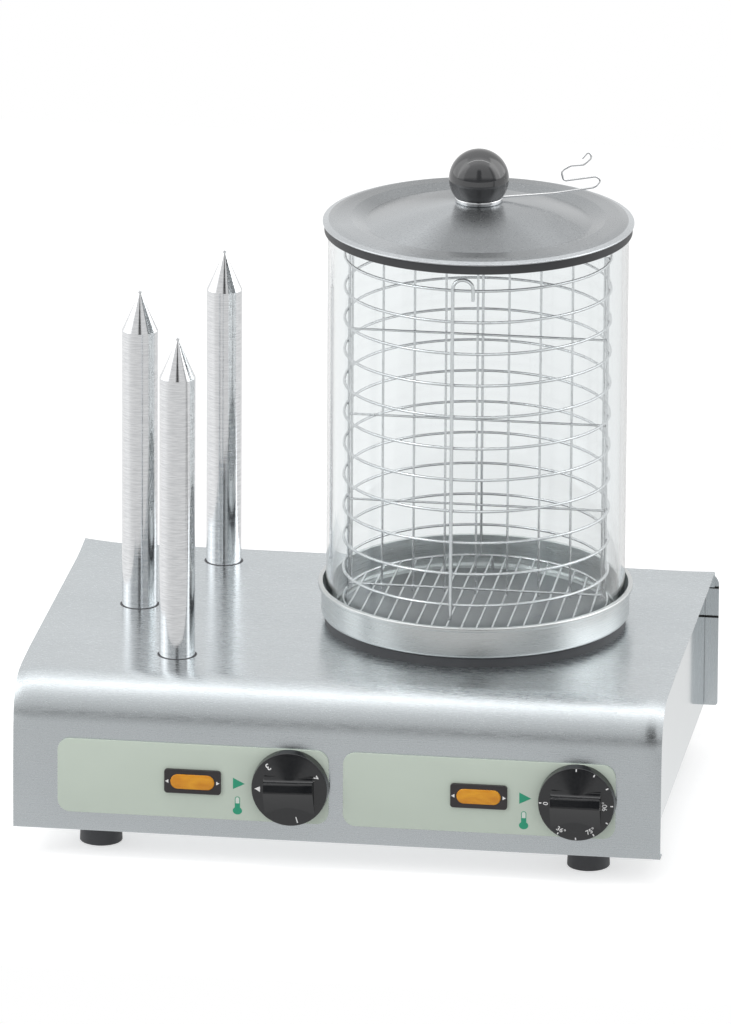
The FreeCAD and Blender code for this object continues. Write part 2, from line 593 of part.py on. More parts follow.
def make_lamp(side):
    """Bezel with a sleeve through the panel, a stadium lens in it and the lamp holder behind."""
    centre = plate_centre(side)
    face = f"({PLATE_FACE} - bezel_thick)"
    back = f"({PLATE_FACE} + sleeve_long)"
    bezel = new_body(f"{side}_lamp_bezel")
    pad(bezel, "XZ_Plane", face, PLATE_FACE,
        centred(centre, CONTROL_Z, "bezel_wide", "bezel_tall", "bezel_corner"))
    pad(bezel, "XZ_Plane", PLATE_FACE, back, centred(
        centre, CONTROL_Z, "(sleeve_wide - 2 * sheet_gap)", "(sleeve_tall - 2 * sheet_gap)"))
    pocket(bezel, "XZ_Plane", f"{face} - 1", f"{back} + 1",
           centred(centre, CONTROL_Z, "lens_wide", "lens_tall", "lens_corner"))
    lens = new_body(f"{side}_lamp_lens")
    pad(lens, "XZ_Plane", f"{face} - lens_proud", f"{face} + lens_deep", centred(
        centre, CONTROL_Z, "(lens_wide - 2 * lens_gap)", "(lens_tall - 2 * lens_gap)",
        "lens_corner - lens_gap"))
    lamp = new_body(f"{side}_lamp_body")
    pad(lamp, "XZ_Plane", back, f"{back} + lamp_long", centred(
        centre, CONTROL_Z, "sleeve_wide", "sleeve_tall"))
    pad(lamp, "XZ_Plane", f"{back} + lamp_long", f"{back} + lamp_long + lamp_blade",
        centred(f"({centre} - blade_wide)", CONTROL_Z, "blade_thick", "blade_wide"),
        centred(f"({centre} + blade_wide)", CONTROL_Z, "blade_thick", "blade_wide"))


def make_knob(side):
    """A hollow moulded disc with a hub, and a grip bar whose flanks flare into the face."""
    body = new_body(f"{side}_knob", knob_centre(side), "front_y", CONTROL_Z)
    back = "(-plate_thick - knob_gap)"
    ceiling = "(-knob_deep + knob_wall)"
    revolve(body, outline(
        ("0", back), ("hub_radius", back), ("hub_radius", ceiling),
        ("knob_face_radius - knob_wall", ceiling), ("knob_radius - knob_wall", back),
        ("knob_radius", back), ("knob_face_radius", "-knob_deep", "knob_round"),
        ("0", "-knob_deep")), plane="XY_Plane")
    tip = "(-knob_deep - grip_proud)"
    pad(body, "YZ_Plane", "-grip_long / 2", "grip_long / 2", outline(
        ("-knob_deep + knob_wall / 2", "-grip_root"),
        ("-knob_deep + knob_wall / 2", "grip_root"), ("-knob_deep", "grip_root"),
        ("-knob_deep - grip_flare / 2", "grip_thick / 2 + grip_skirt", "grip_flare"),
        (tip, "grip_thick / 2 - grip_draft", "grip_round"),
        (tip, "-grip_thick / 2 + grip_draft", "grip_round"),
        ("-knob_deep - grip_flare / 2", "-grip_thick / 2 - grip_skirt", "grip_flare"),
        ("-knob_deep", "-grip_root")))
    pocket(body, "XZ_Plane", "-shaft_front - shaft_gap", f"{back} + 1",
           hole("0", "0", "shaft_radius"))


def make_knob_shaft(side):
    """The control's spindle, with a flat where the knob pushes on."""
    x = knob_centre(side)
    front = "(front_y - shaft_front)"
    length = "shaft_front + hood_sheet + sheet_gap + shaft_in_body"
    spindle = rod("Spindle", "shaft_radius", length, x, front, CONTROL_Z, "Y")
    flat = doc.addObject("Part::Box", "SpindleFlat")
    bind(flat, "Length", "shaft_radius * 2")
    bind(flat, "Width", "shaft_flat_long")
    bind(flat, "Height", "shaft_radius")
    place(flat, f"{x} - shaft_radius", front, f"{CONTROL_Z} + shaft_flat")
    keep(f"{side}_knob_shaft", cut("KnobShaft", spindle, flat))


def make_switch(label, side):
    """A control body behind the panel, with its spindle bore, two screw bores and blades."""
    body = new_body(label)
    x = knob_centre(side)
    face = "(front_y + hood_sheet + sheet_gap)"
    pad(body, "XZ_Plane", face, f"{face} + switch_deep",
        centred(x, CONTROL_Z, "switch_wide", "switch_tall", "switch_corner"))
    pocket(body, "XZ_Plane", f"{face} - 1", f"{face} + shaft_in_body + shaft_gap",
           hole(x, CONTROL_Z, "shaft_radius + shaft_gap"))
    pocket(body, "XZ_Plane", f"{face} - 1", f"{face} + switch_screw_deep + 1", *[
        hole(f"{x} + {way} * switch_screw_x", CONTROL_Z, "switch_screw_bore")
        for way in (-1, 1)])
    blades = [centred(f"({x} + {across} * blade_pitch / 2)",
                      f"({CONTROL_Z} + {up} * blade_pitch / 2)", "blade_wide", "blade_thick")
              for across in (-1, 1) for up in (-1, 1)]
    pad(body, "XZ_Plane", f"{face} + switch_deep", f"{face} + switch_deep + blade_long", *blades)


def make_switch_screws():
    """The screws under each knob that hold its control to the panel."""
    screws = []
    for side in SIDES:
        for way in (-1, 1):
            x = f"{knob_centre(side)} + {way} * switch_screw_x"
            head = rod("ControlScrewHead", "switch_screw_head", "switch_screw_head_tall", x,
                       f"{PLATE_FACE} - switch_screw_head_tall", CONTROL_Z, "Y")
            shank = rod("ControlScrewShank", "switch_screw_radius",
                        "plate_thick + hood_sheet + sheet_gap + switch_screw_deep", x,
                        PLATE_FACE, CONTROL_Z, "Y")
            screws.append(fuse("ControlScrew", head, shank))
    group("control_screws", screws)


# ---- heated well ----------------------------------------------------------------------------

HOT_BASE = f"({PAN_BASE} - hot_thick)"
ELEMENT_BASE = f"({PAN_BASE} - hot_thick - element_thick)"
BULB_Z = f"({PAN_BASE} - hot_thick - bulb_radius)"


def make_seat_ring():
    """A black gasket ring on the hood, which the water pan stands on."""
    body = new_body("seat_ring", STEAM_X, STEAM_Y, TOP)
    revolve(body, outline(("seat_inner", "0"), ("seat_radius", "0"),
                          ("seat_radius", "seat_tall", "seat_tall / 6"),
                          ("seat_inner", "seat_tall")))


def make_hot_plate():
    """A cast disc in the hood's opening, with the element clamped up against it by a bridge."""
    plate = new_body("hot_plate", STEAM_X, STEAM_Y, HOT_BASE)
    revolve(plate, outline(("0", "0"), ("hot_radius", "0"),
                           ("hot_radius", "hot_thick", "hot_thick / 10"), ("0", "hot_thick")))
    element = new_body("heating_element", STEAM_X, STEAM_Y, ELEMENT_BASE)
    revolve(element, outline(
        ("element_radius - element_thick / 2", "0"), ("element_radius + element_thick / 2", "0"),
        ("element_radius + element_thick / 2", "element_thick"),
        ("element_radius - element_thick / 2", "element_thick")))
    bridge = new_body("heater_bridge", STEAM_X, STEAM_Y)
    half = "(bridge_long / 2)"
    foot = "(bridge_long / 2 - bridge_flange)"
    shelf = f"({ELEMENT_BASE} - bridge_sheet)"
    under = f"({TOP} - hood_sheet)"
    step = "bridge_sheet"
    pad(bridge, "XZ_Plane", "-bridge_wide / 2", "bridge_wide / 2", outline(
        (f"-{half}", under), (f"-{half}", f"{under} - {step}"),
        (f"-{foot} - {step}", f"{under} - {step}"), (f"-{foot}", shelf), (foot, shelf),
        (f"{foot} + {step}", f"{under} - {step}"), (half, f"{under} - {step}"), (half, under),
        (f"{foot}", under), (f"{foot} - {step}", ELEMENT_BASE),
        (f"-{foot} + {step}", ELEMENT_BASE), (f"-{foot}", under)))
    ends = [f"{way} * ({half} - bridge_flange / 2)" for way in (-1, 1)]
    pocket(bridge, "XY_Plane", f"{under} - bridge_sheet - 1", f"{under} + 1",
           *[hole(x, "0", "weld_stud_radius + screw_slack") for x in ends])
    pocket(bridge, "XY_Plane", f"{shelf} - 1", f"{ELEMENT_BASE} + 1",
           hole("0", "0", "stud_radius + screw_slack"))
    studs = [rod("WeldStud", "weld_stud_radius", "weld_stud_long", f"{STEAM_X} + {x}", STEAM_Y,
                 f"{under} - weld_stud_long") for x in ends]
    studs.append(rod("PlateStud", "stud_radius", "stud_long", STEAM_X, STEAM_Y,
                     f"{HOT_BASE} - stud_long"))
    group("heater_studs", studs)
    places = [(f"{STEAM_X} + {x}", f"{under} - bridge_sheet - nut_tall", "weld_stud_radius")
              for x in ends]
    places.append((STEAM_X, f"{shelf} - nut_tall", "stud_radius"))
    nuts = []
    for x, z, bore in places:
        blank = hexagon("HeaterNutBlank", "nut_across", "nut_tall", x, STEAM_Y, z)
        nuts.append(cut("HeaterNut", blank,
                        rod("HeaterNutBore", bore, "nut_tall", x, STEAM_Y, z)))
    group("heater_nuts", nuts)


def make_capillary():
    """The thermostat's tube, which rises to a sensing bulb against the hot plate's underside."""
    body = new_body("thermostat_capillary", f"{knob_centre('right')} - capillary_x", "0")
    start = "(front_y + hood_sheet + sheet_gap + switch_deep)"
    rise = f"({start} + capillary_run)"
    pipe(body, "XZ_Plane", f"-{start}", hole("0", CONTROL_Z, "capillary_radius"),
         "YZ_Plane", "0", open_path(
             (start, CONTROL_Z), (rise, CONTROL_Z, "capillary_bend"),
             (rise, BULB_Z, "capillary_bend"), (f"{STEAM_Y} - bulb_long / 2", BULB_Z)))
    pad(body, "XZ_Plane", f"{STEAM_Y} - bulb_long / 2", f"{STEAM_Y} + bulb_long / 2",
        hole("0", BULB_Z, "bulb_radius"))


def make_water_pan():
    """A drawn pan with a flat rim lip, which lifts off the seat ring."""
    body = new_body("water_pan", STEAM_X, STEAM_Y, PAN_BASE)
    inside = "(pan_wall_radius - pan_sheet)"
    lip = "(pan_tall - pan_rim_tall)"
    revolve(body, outline(
        ("0", "0"), ("pan_wall_radius", "0", "pan_corner"), ("pan_wall_radius", lip),
        ("pan_rim_radius", lip, "pan_rim_under"),
        ("pan_rim_radius", "pan_tall", "pan_rim_round"),
        (inside, "pan_tall"), (inside, "pan_sheet", "pan_corner - pan_sheet"),
        ("0", "pan_sheet")))


def make_glass():
    body = new_body("glass_cylinder", STEAM_X, STEAM_Y, GLASS_BASE)
    revolve(body, outline(
        ("glass_radius - glass_wall", "0", "glass_edge"), ("glass_radius", "0", "glass_edge"),
        ("glass_radius", "glass_tall", "glass_edge"),
        ("glass_radius - glass_wall", "glass_tall", "glass_edge")))


# ---- lid ------------------------------------------------------------------------------------

DOME_TOP = f"({LID_SEAT} + lid_sheet + dome_rise)"
BALL_Z = (f"({LID_SEAT} + lid_sheet + dome_rise + collar_tall"
          " + sqrt(ball_radius ^ 2 - ball_base ^ 2))")


def make_lid():
    """A pressed lid: rim folded down, low ridge, crease and a dome that carries the ball."""
    shell = new_body("lid_shell", STEAM_X, STEAM_Y, LID_SEAT)
    bore = "(lid_screw_radius + screw_slack)"
    revolve(shell, outline(
        (bore, "dome_rise"), ("dome_flat", "dome_rise", "dome_top_round"),
        ("dome_mid_radius", "dome_mid_rise", "dome_round"),
        ("crease_radius", "crease_rise", "crease_round"),
        ("ridge_radius", "ridge_rise", "ridge_round"),
        ("rim_fold_radius", "rim_fold_rise", "rim_fold_round"), ("lid_radius", "0"),
        ("lid_radius", "lid_sheet", "lid_rim_round"),
        ("rim_fold_radius", "rim_fold_rise + lid_sheet", "rim_fold_round"),
        ("ridge_radius", "ridge_rise + lid_sheet", "ridge_round"),
        ("crease_radius", "crease_rise + lid_sheet", "crease_round"),
        ("dome_mid_radius", "dome_mid_rise + lid_sheet", "dome_round"),
        ("dome_flat", "dome_rise + lid_sheet", "dome_top_round"),
        (bore, "dome_rise + lid_sheet")))
    seal = new_body("lid_seal", STEAM_X, STEAM_Y, LID_SEAT)
    skirt = "(glass_radius + seal_gap)"
    revolve(seal, outline(
        ("seal_inner", "-seal_pad"), (skirt, "-seal_pad"), (skirt, "-seal_skirt"),
        ("seal_outer", "-seal_skirt"), ("seal_outer", "0"), ("seal_inner", "0")))
    collar = new_body("lid_knob_collar", STEAM_X, STEAM_Y, DOME_TOP)
    revolve(collar, outline(
        (bore, "0"), ("collar_radius", "0", "collar_lip"),
        ("collar_radius", "collar_tall"), (bore, "collar_tall")))
    ball = new_body("lid_knob", STEAM_X, STEAM_Y, BALL_Z)
    turn_ball(ball)
    head = rod("LidScrewHead", "lid_screw_head", "lid_screw_head_tall", STEAM_X, STEAM_Y,
               f"{LID_SEAT} + dome_rise - lid_screw_head_tall")
    shank = rod("LidScrewShank", "lid_screw_radius",
                "lid_sheet + collar_tall + lid_screw_deep", STEAM_X, STEAM_Y,
                f"{LID_SEAT} + dome_rise")
    keep("lid_knob_screw", fuse("LidKnobScrew", head, shank))


def turn_ball(body):
    """A ball cut flat where it stands on its collar, with a blind screw bore."""
    seat = "(-sqrt(ball_radius ^ 2 - ball_base ^ 2))"
    reach = number_of("ball_radius")
    low = number_of(seat)
    revolve(body, lambda sketch: draw_ball(sketch, reach, low))
    pocket(body, "XY_Plane", f"{seat} - 1", f"{seat} + lid_screw_deep + 0.5",
           hole("0", "0", "lid_screw_radius"))


def draw_ball(sketch, reach, low):
    """Half the ball's section: an arc from the flat to the pole, closed along the axis."""
    start = math.asin(low / reach)
    base = math.sqrt(reach ** 2 - low ** 2)
    circle = Part.Circle(FreeCAD.Vector(0, 0, 0), FreeCAD.Vector(0, 0, 1), reach)
    arc = sketch.addGeometry(Part.ArcOfCircle(circle, start, math.pi / 2))
    axis = sketch.addGeometry(Part.LineSegment(FreeCAD.Vector(0, reach, 0),
                                               FreeCAD.Vector(0, low, 0)))
    flat = sketch.addGeometry(Part.LineSegment(FreeCAD.Vector(0, low, 0),
                                               FreeCAD.Vector(base, low, 0)))
    sketch.addConstraint([
        Sketcher.Constraint("Coincident", arc, 3, -1, 1),
        Sketcher.Constraint("Coincident", arc, 2, axis, 1),
        Sketcher.Constraint("Coincident", axis, 2, flat, 1),
        Sketcher.Constraint("Coincident", flat, 2, arc, 1),
        Sketcher.Constraint("PointOnObject", axis, 1, -2),
        Sketcher.Constraint("PointOnObject", axis, 2, -2),
        Sketcher.Constraint("Horizontal", flat)])
    held = sketch.addConstraint(Sketcher.Constraint("Radius", arc, reach))
    sketch.setExpression(f"Constraints[{held}]", bound("ball_radius"))
    wide = sketch.addConstraint(Sketcher.Constraint("DistanceX", -1, 1, arc, 1, base))
    sketch.setExpression(f"Constraints[{wide}]", bound("ball_base"))


# Each bend of the lid's wire: distance from the axis, height above the dome and bend radius.
LID_WIRE_BENDS = [(52, 2.2, 60), (80, 4.6, 6), (84, 9.4, 2.5), (80, 12, 3), (58, 10.4, 2.5),
                  (56.4, 17.4, 3), (63, 20.6, 4), (72, 20.6, 5), (77.6, 25.4, 2.5),
                  (75, 29.6, 1.5)]
LID_WIRE_LEVEL = 1.9
LID_WIRE_END = (70.6, 24.8)


def make_lid_wire():
    """A thin wire clamped under the ball, which runs out over the lid and climbs in zigzags."""
    body = new_body("lid_wire", STEAM_X, STEAM_Y, DOME_TOP)
    body.Placement.Rotation = FreeCAD.Rotation(FreeCAD.Vector(0, 0, 1),
                                               number_of("lid_wire_turn"))
    start = "(collar_radius + lid_wire_gap)"
    pipe(body, "YZ_Plane", start, hole("0", LID_WIRE_LEVEL, "lid_wire_radius"),
         "XZ_Plane", "0", open_path((start, LID_WIRE_LEVEL), *LID_WIRE_BENDS, LID_WIRE_END))


# ---- basket ---------------------------------------------------------------------------------

BASKET_Z = f"({GLASS_BASE} + basket_lift)"
POST_RADIUS = "(ring_radius - 2 * wire_radius + cage_weld)"


def make_basket():
    """Welded rings on three posts, a round floor grid on feet and a flat grid that parts it."""
    make_basket_cage()
    make_basket_floor()
    make_basket_divider()
    feet = [rod("BasketFoot", "wire_radius", "basket_lift - wire_radius",
                f"{STEAM_X} + {x} * ring_radius", f"{STEAM_Y} + {y} * ring_radius", GLASS_BASE)
            for x, y in ((1, 0), (0, 1), (-1, 0), (0, -1))]
    group("basket_feet", feet)
    lifter = new_body("basket_lifting_rod", f"{STEAM_X} - rod_shift",
                      f"{STEAM_Y} - ring_radius - wire_radius - rod_radius", BASKET_Z)
    crown = "(hook_top - rod_radius)"
    pipe(lifter, "XY_Plane", "rod_rise", hole("0", "0", "rod_radius"),
         "XZ_Plane", "0", open_path(
             ("0", "rod_rise"), ("0", crown, f"hook_radius * {NEARLY}"),
             ("2 * hook_radius", crown, f"hook_radius * {NEARLY}"),
             ("2 * hook_radius", f"{crown} - hook_radius - hook_tip")))


def make_basket_cage():
    """A stack of rings with wires stood inside it, welded where they cross, each its own solid."""
    rings = doc.addObject("PartDesign::Body", "CageRings")
    rings.AllowCompound = True
    place(rings, STEAM_X, STEAM_Y, BASKET_Z)
    ring = revolve(rings, centred("ring_radius", "ring_pitch", "(2 * wire_radius)",
                                  "(2 * wire_radius)"))
    repeat(rings, ring, "V_Axis", "ring_pitch", "ring_count")
    rear = f"sqrt({POST_RADIUS} ^ 2 - post_shift ^ 2)"
    corners = ((f"-{POST_RADIUS}", "0"), (POST_RADIUS, "0"), ("-post_shift", rear))
    posts = [rod("CagePost", "wire_radius", "ring_pitch * ring_count", f"{STEAM_X} + {x}",
                 f"{STEAM_Y} + {y}", f"{BASKET_Z} + wire_radius") for x, y in corners]
    group("basket_cage", [rings, *posts])


def make_basket_floor():
    """Parallel wires, cut round, whose ends are welded into one ring."""
    floor = new_body("basket_floor", STEAM_X, STEAM_Y, BASKET_Z)
    first = "(-grid_pitch * (grid_count - 1) / 2)"
    wires = pad(floor, "XZ_Plane", "-ring_radius - 1", "ring_radius + 1",
                hole(first, "0", "thin_wire_radius"))
    repeat(floor, wires, "H_Axis", "grid_pitch", "grid_count")
    pocket(floor, "XY_Plane", "-wire_radius - 1", "wire_radius + 1",
           hole("0", "0", "ring_radius"), hole("0", "0", "2 * ring_radius"))
    revolve(floor, hole("ring_radius", "0", "wire_radius"))


def make_basket_divider():
    """Uprights welded across the back of the rails."""
    divider = new_body("basket_divider", STEAM_X, STEAM_Y, BASKET_Z)
    reach = f"({POST_RADIUS} - wire_radius)"
    apart = "(thin_wire_radius - weld_depth / 2)"
    rail = pad(divider, "YZ_Plane", f"-{reach}", reach,
               hole(f"-{apart}", "divider_rise", "thin_wire_radius"))
    repeat(divider, rail, "V_Axis", "divider_pitch_z", "divider_count_z")
    high = "(divider_rise + divider_pitch_z * (divider_count_z - 1) + thin_wire_radius)"
    first = "(-divider_pitch_x * (divider_count_x - 1) / 2)"
    upright = pad(divider, "XY_Plane", "wire_radius", high,
                  hole(first, apart, "thin_wire_radius"))
    repeat(divider, upright, "H_Axis", "divider_pitch_x", "divider_count_x")


# ---- bun spikes -----------------------------------------------------------------------------

def make_spikes():
    """Three turned spikes, each with a heater in its bore, on one bracket below the hood."""
    heaters, collars, nuts = [], [], []
    shoulder = f"({TOP} + spike_tall - cone_tall)"
    tip = f"({TOP} + spike_tall)"
    seat = f"({BRACKET_Z} + bracket_sheet)"
    for label, (x, y) in SPIKES.items():
        body = new_body(label, x, y)
        revolve(body, outline(
            ("spike_bore", f"{seat} - spike_stud_long"),
            ("spike_stud", f"{seat} - spike_stud_long"), ("spike_stud", seat),
            ("spike_radius", seat), ("spike_radius", shoulder),
            ("tip_neck", f"{tip} - 2 * tip_radius"),
            ("tip_radius", f"{tip} - 1.5 * tip_radius"), ("tip_radius", tip, "tip_radius * 0.8"),
            ("0", tip), ("0", f"{shoulder} - spike_stud"),
            ("spike_bore", f"{shoulder} - spike_stud")))
        heaters.append(rod("SpikeHeater", "heater_radius", "heater_long", x, y,
                           f"{seat} - spike_stud_long - heater_tail"))
        under = f"({TOP} - hood_sheet)"
        blank = fuse("CollarBlank",
                     rod("CollarFlange", "spike_collar_radius", "spike_collar_tall", x, y,
                         f"{under} - spike_collar_tall"),
                     rod("CollarNeck", "spike_hole - collar_gap", "hood_sheet", x, y, under))
        bore = rod("CollarBore", "spike_radius + collar_gap", "hood_sheet + spike_collar_tall",
                   x, y, f"{under} - spike_collar_tall")
        collars.append(cut("SpikeCollar", blank, bore))
        nut = hexagon("SpikeNutBlank", "spike_nut_across", "spike_nut_tall", x, y,
                      f"{BRACKET_Z} - spike_nut_tall")
        nuts.append(cut("SpikeNut", nut, rod("SpikeNutBore", "spike_stud", "spike_nut_tall", x, y,
                                             f"{BRACKET_Z} - spike_nut_tall")))
    group("spike_heaters", heaters)
    group("spike_collars", collars)
    group("spike_nuts", nuts)


def make_spike_bracket():
    """A folded channel under the hood that the spikes are screwed to."""
    body = new_body("spike_bracket")
    left, right = f"({OUTER_SPIKE_X} - bracket_edge)", f"({INNER_SPIKE_X} + bracket_edge)"
    under = f"({TOP} - hood_sheet)"
    fold = "bracket_sheet"
    pad(body, "XZ_Plane", f"{FRONT_SPIKE_Y} - bracket_edge", f"{REAR_SPIKE_Y} + bracket_edge",
        outline(
            (left, BRACKET_Z), (right, BRACKET_Z), (right, f"{under} - {fold}"),
            (f"{right} + bracket_flange", f"{under} - {fold}"),
            (f"{right} + bracket_flange", under), (f"{right} - {fold}", under),
            (f"{right} - {fold}", f"{BRACKET_Z} + {fold}"),
            (f"{left} + {fold}", f"{BRACKET_Z} + {fold}"), (f"{left} + {fold}", under),
            (f"{left} - bracket_flange", under),
            (f"{left} - bracket_flange", f"{under} - {fold}"), (left, f"{under} - {fold}")))
    pocket(body, "XY_Plane", f"{BRACKET_Z} - 1", f"{BRACKET_Z} + {fold} + 1",
           *[hole(x, y, "spike_stud + screw_slack") for x, y in SPIKES.values()])


# ---- mains connection -----------------------------------------------------------------------

def make_terminal_block():
    body = new_body("terminal_block")
    base = f"({WALL_BASE} + tray_sheet)"
    centre_y = f"({REAR} - block_rear)"
    pad(body, "XY_Plane", base, f"{base} + block_tall",
        centred("block_x", centre_y, "block_long", "block_wide"))
    wells = [hole(f"block_x + {way} * block_long / 4", f"{centre_y} + {row} * block_wide / 4",
                  "block_screw_radius") for way in (-1, 0, 1) for row in (-1, 1)]
    pocket(body, "XY_Plane", f"{base} + block_tall / 2", f"{base} + block_tall + 1", *wells)


def make_cable_gland():
    """A gland with a through bore for the mains cable, held by a nut inside the rear panel."""
    level = "(ground_gap + gland_z)"
    outer = f"({REAR} + rear_sheet)"
    inner = f"({REAR} - gland_long)"
    collar = hexagon("GlandHex", "gland_hex", "gland_proud", GLAND_X, outer, level, "Y")
    barrel = rod("GlandBarrel", "gland_radius", f"{outer} - {inner}", GLAND_X, inner, level,
                 "Y")
    bore = rod("GlandBore", "gland_bore", f"{outer} - {inner} + gland_proud + 2", GLAND_X,
               f"{inner} - 1", level, "Y")
    keep("cable_gland", cut("CableGland", fuse("GlandBlank", collar, barrel), bore))
    nut = hexagon("GlandNutBlank", "gland_hex", "gland_nut_tall", GLAND_X,
                  f"{REAR} - gland_nut_tall", level, "Y")
    thread = rod("GlandNutBore", "gland_radius", "gland_nut_tall", GLAND_X,
                 f"{REAR} - gland_nut_tall", level, "Y")
    keep("gland_nut", cut("GlandNut", nut, thread))


def check_document():
    doc.recompute()
    for item in doc.Objects:
        if "Invalid" in item.State or "Error" in item.State:
            raise RuntimeError(f"{item.Name} failed: {item.State}")
    for label, item in parts.items():
        if item.Shape.isNull() or not item.Shape.isValid():
            raise RuntimeError(f"{label} has no valid shape")


def write_parts():
    os.makedirs("parts", exist_ok=True)
    for label, item in parts.items():
        item.Shape.exportStep(f"parts/{label}.step")
        print(f"{label}: {len(item.Shape.Solids)} solid(s), {item.Shape.Volume / 1000:.2f} cm3")


make_hood()
for side in SIDES:
    make_side_wall(side)
make_rear_panel()
make_base_tray()
make_feet()
make_rear_screws()
for side in SIDES:
    make_control_plate(side)
    make_lamp(side)
    make_knob(side)
    make_knob_shaft(side)
make_switch("power_regulator", "left")
make_switch("thermostat", "right")
make_switch_screws()
make_seat_ring()
make_hot_plate()
make_capillary()
make_water_pan()
make_glass()
make_lid()
make_lid_wire()
make_basket()
make_spikes()
make_spike_bracket()
make_terminal_block()
make_cable_gland()
check_document()
write_parts()
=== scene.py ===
import math
import bmesh
import bpy
from mathutils import Matrix, Vector


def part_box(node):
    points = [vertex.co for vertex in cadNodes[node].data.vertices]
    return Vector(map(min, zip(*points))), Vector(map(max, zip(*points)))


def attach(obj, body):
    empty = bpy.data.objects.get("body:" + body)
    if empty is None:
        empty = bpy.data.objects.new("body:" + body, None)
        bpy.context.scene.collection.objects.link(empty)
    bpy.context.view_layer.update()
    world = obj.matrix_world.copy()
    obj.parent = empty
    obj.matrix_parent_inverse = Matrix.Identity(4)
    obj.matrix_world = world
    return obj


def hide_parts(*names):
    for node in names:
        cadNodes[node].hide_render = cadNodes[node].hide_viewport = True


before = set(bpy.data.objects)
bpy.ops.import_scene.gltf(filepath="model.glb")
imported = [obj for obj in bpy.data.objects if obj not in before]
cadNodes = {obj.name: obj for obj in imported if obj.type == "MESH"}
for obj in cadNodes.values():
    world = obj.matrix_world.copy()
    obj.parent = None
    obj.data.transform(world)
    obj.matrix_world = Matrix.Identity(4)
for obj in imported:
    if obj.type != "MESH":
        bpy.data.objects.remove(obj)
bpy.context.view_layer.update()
mm = 0.001
quarterTurn = 0.25
white = (1, 1, 1, 1)
spikeNodes = ("left_spike", "front_spike", "rear_spike")


def lengths(**millimetres):
    return {name: value * mm for name, value in millimetres.items()}


def addObject(name, data):
    thing = bpy.data.objects.new(name, data)
    bpy.context.scene.collection.objects.link(thing)
    return thing


def meshFrom(shape, name):
    # makes a mesh from a bmesh and frees the bmesh
    mesh = bpy.data.meshes.new(name)
    shape.to_mesh(mesh)
    shape.free()
    return mesh


# ---- camera, floor and light

cameraSpec = {
    "place": (1.1637, -8.2831, 2.8736),
    "down": 17.70,          # degrees below level
    "turn": 8.009,
    "roll": 0.341,
    "lens": 462.73,
    "filmHeight": 36.0,
}


def makeCamera(spec):
    data = bpy.data.cameras.new("studioCamera")
    data.sensor_fit = "VERTICAL"
    data.sensor_height = spec["filmHeight"]
    data.lens = spec["lens"]
    camera = addObject("studioCamera", data)
    turn = Matrix.Rotation(math.radians(spec["turn"]), 4, "Z")
    lean = Matrix.Rotation(math.radians(90 - spec["down"]), 4, "X")
    roll = Matrix.Rotation(math.radians(spec["roll"]), 4, "Z")
    camera.matrix_world = Matrix.Translation(spec["place"]) @ turn @ lean @ roll
    bpy.context.scene.camera = camera


class Wiring:
    # a small helper that adds and joins the nodes of one material or world
    def __init__(self, tree):
        self.tree = tree

    def add(self, kind, **settings):
        node = self.tree.nodes.new(kind)
        for key, value in settings.items():
            if hasattr(node, key):
                setattr(node, key, value)
            else:
                node.inputs[key.replace("_", " ")].default_value = value
        return node

    def join(self, start, end):
        # start is a number, a tuple or another node's output
        if isinstance(start, (int, float, tuple)):
            end.default_value = start
        else:
            self.tree.links.new(start, end)

    def gather(self, kind, *values, **settings):
        # a node whose first inputs take these values
        node = self.add(kind, **settings)
        for value, socket in zip(values, node.inputs):
            self.join(value, socket)
        return node.outputs[0]

    def math(self, operation, first, second=0.0):
        return self.gather("ShaderNodeMath", first, second, operation=operation)

    def times(self, first, second):
        return self.math("MULTIPLY", first, second)

    def plus(self, first, second):
        return self.math("ADD", first, second)

    def rest(self, share):
        return self.math("SUBTRACT", 1.0, share)

    def place(self, kind="Object"):
        return self.add("ShaderNodeTexCoord").outputs[kind]

    def axes(self, vector):
        apart = self.add("ShaderNodeSeparateXYZ")
        self.join(vector, apart.inputs[0])
        return apart.outputs

    def rays(self, *kinds):
        # 1 for rays of one or two kinds, and 0 for all others
        found = [self.add("ShaderNodeLightPath").outputs[f"Is {kind} Ray"] for kind in kinds]
        return self.math("MAXIMUM", *found) if len(found) > 1 else found[0]

    def mix(self, share, first, second, blend="MIX"):
        node = self.add("ShaderNodeMix", data_type="RGBA", blend_type=blend)
        for value, socket in zip((share, first, second), (0, 6, 7)):
            self.join(value, node.inputs[socket])
        return node.outputs[2]

    def ramp(self, factor, *stops):
        node = self.add("ShaderNodeValToRGB")
        elements = node.color_ramp.elements
        while len(elements) < len(stops):
            elements.new(0.5)
        for element, (place, tone) in zip(elements, stops):
            element.position = place
            element.color = (*tone, 1) if isinstance(tone, tuple) else (tone, tone, tone, 1)
        self.join(factor, node.inputs[0])
        return node.outputs[0]

    def between(self, factor, ends, edge=0.30):
        # from the first tone to the second, level up to the edge and beyond its mirror
        return self.ramp(factor, (edge, ends[0]), (1 - edge, ends[1]))


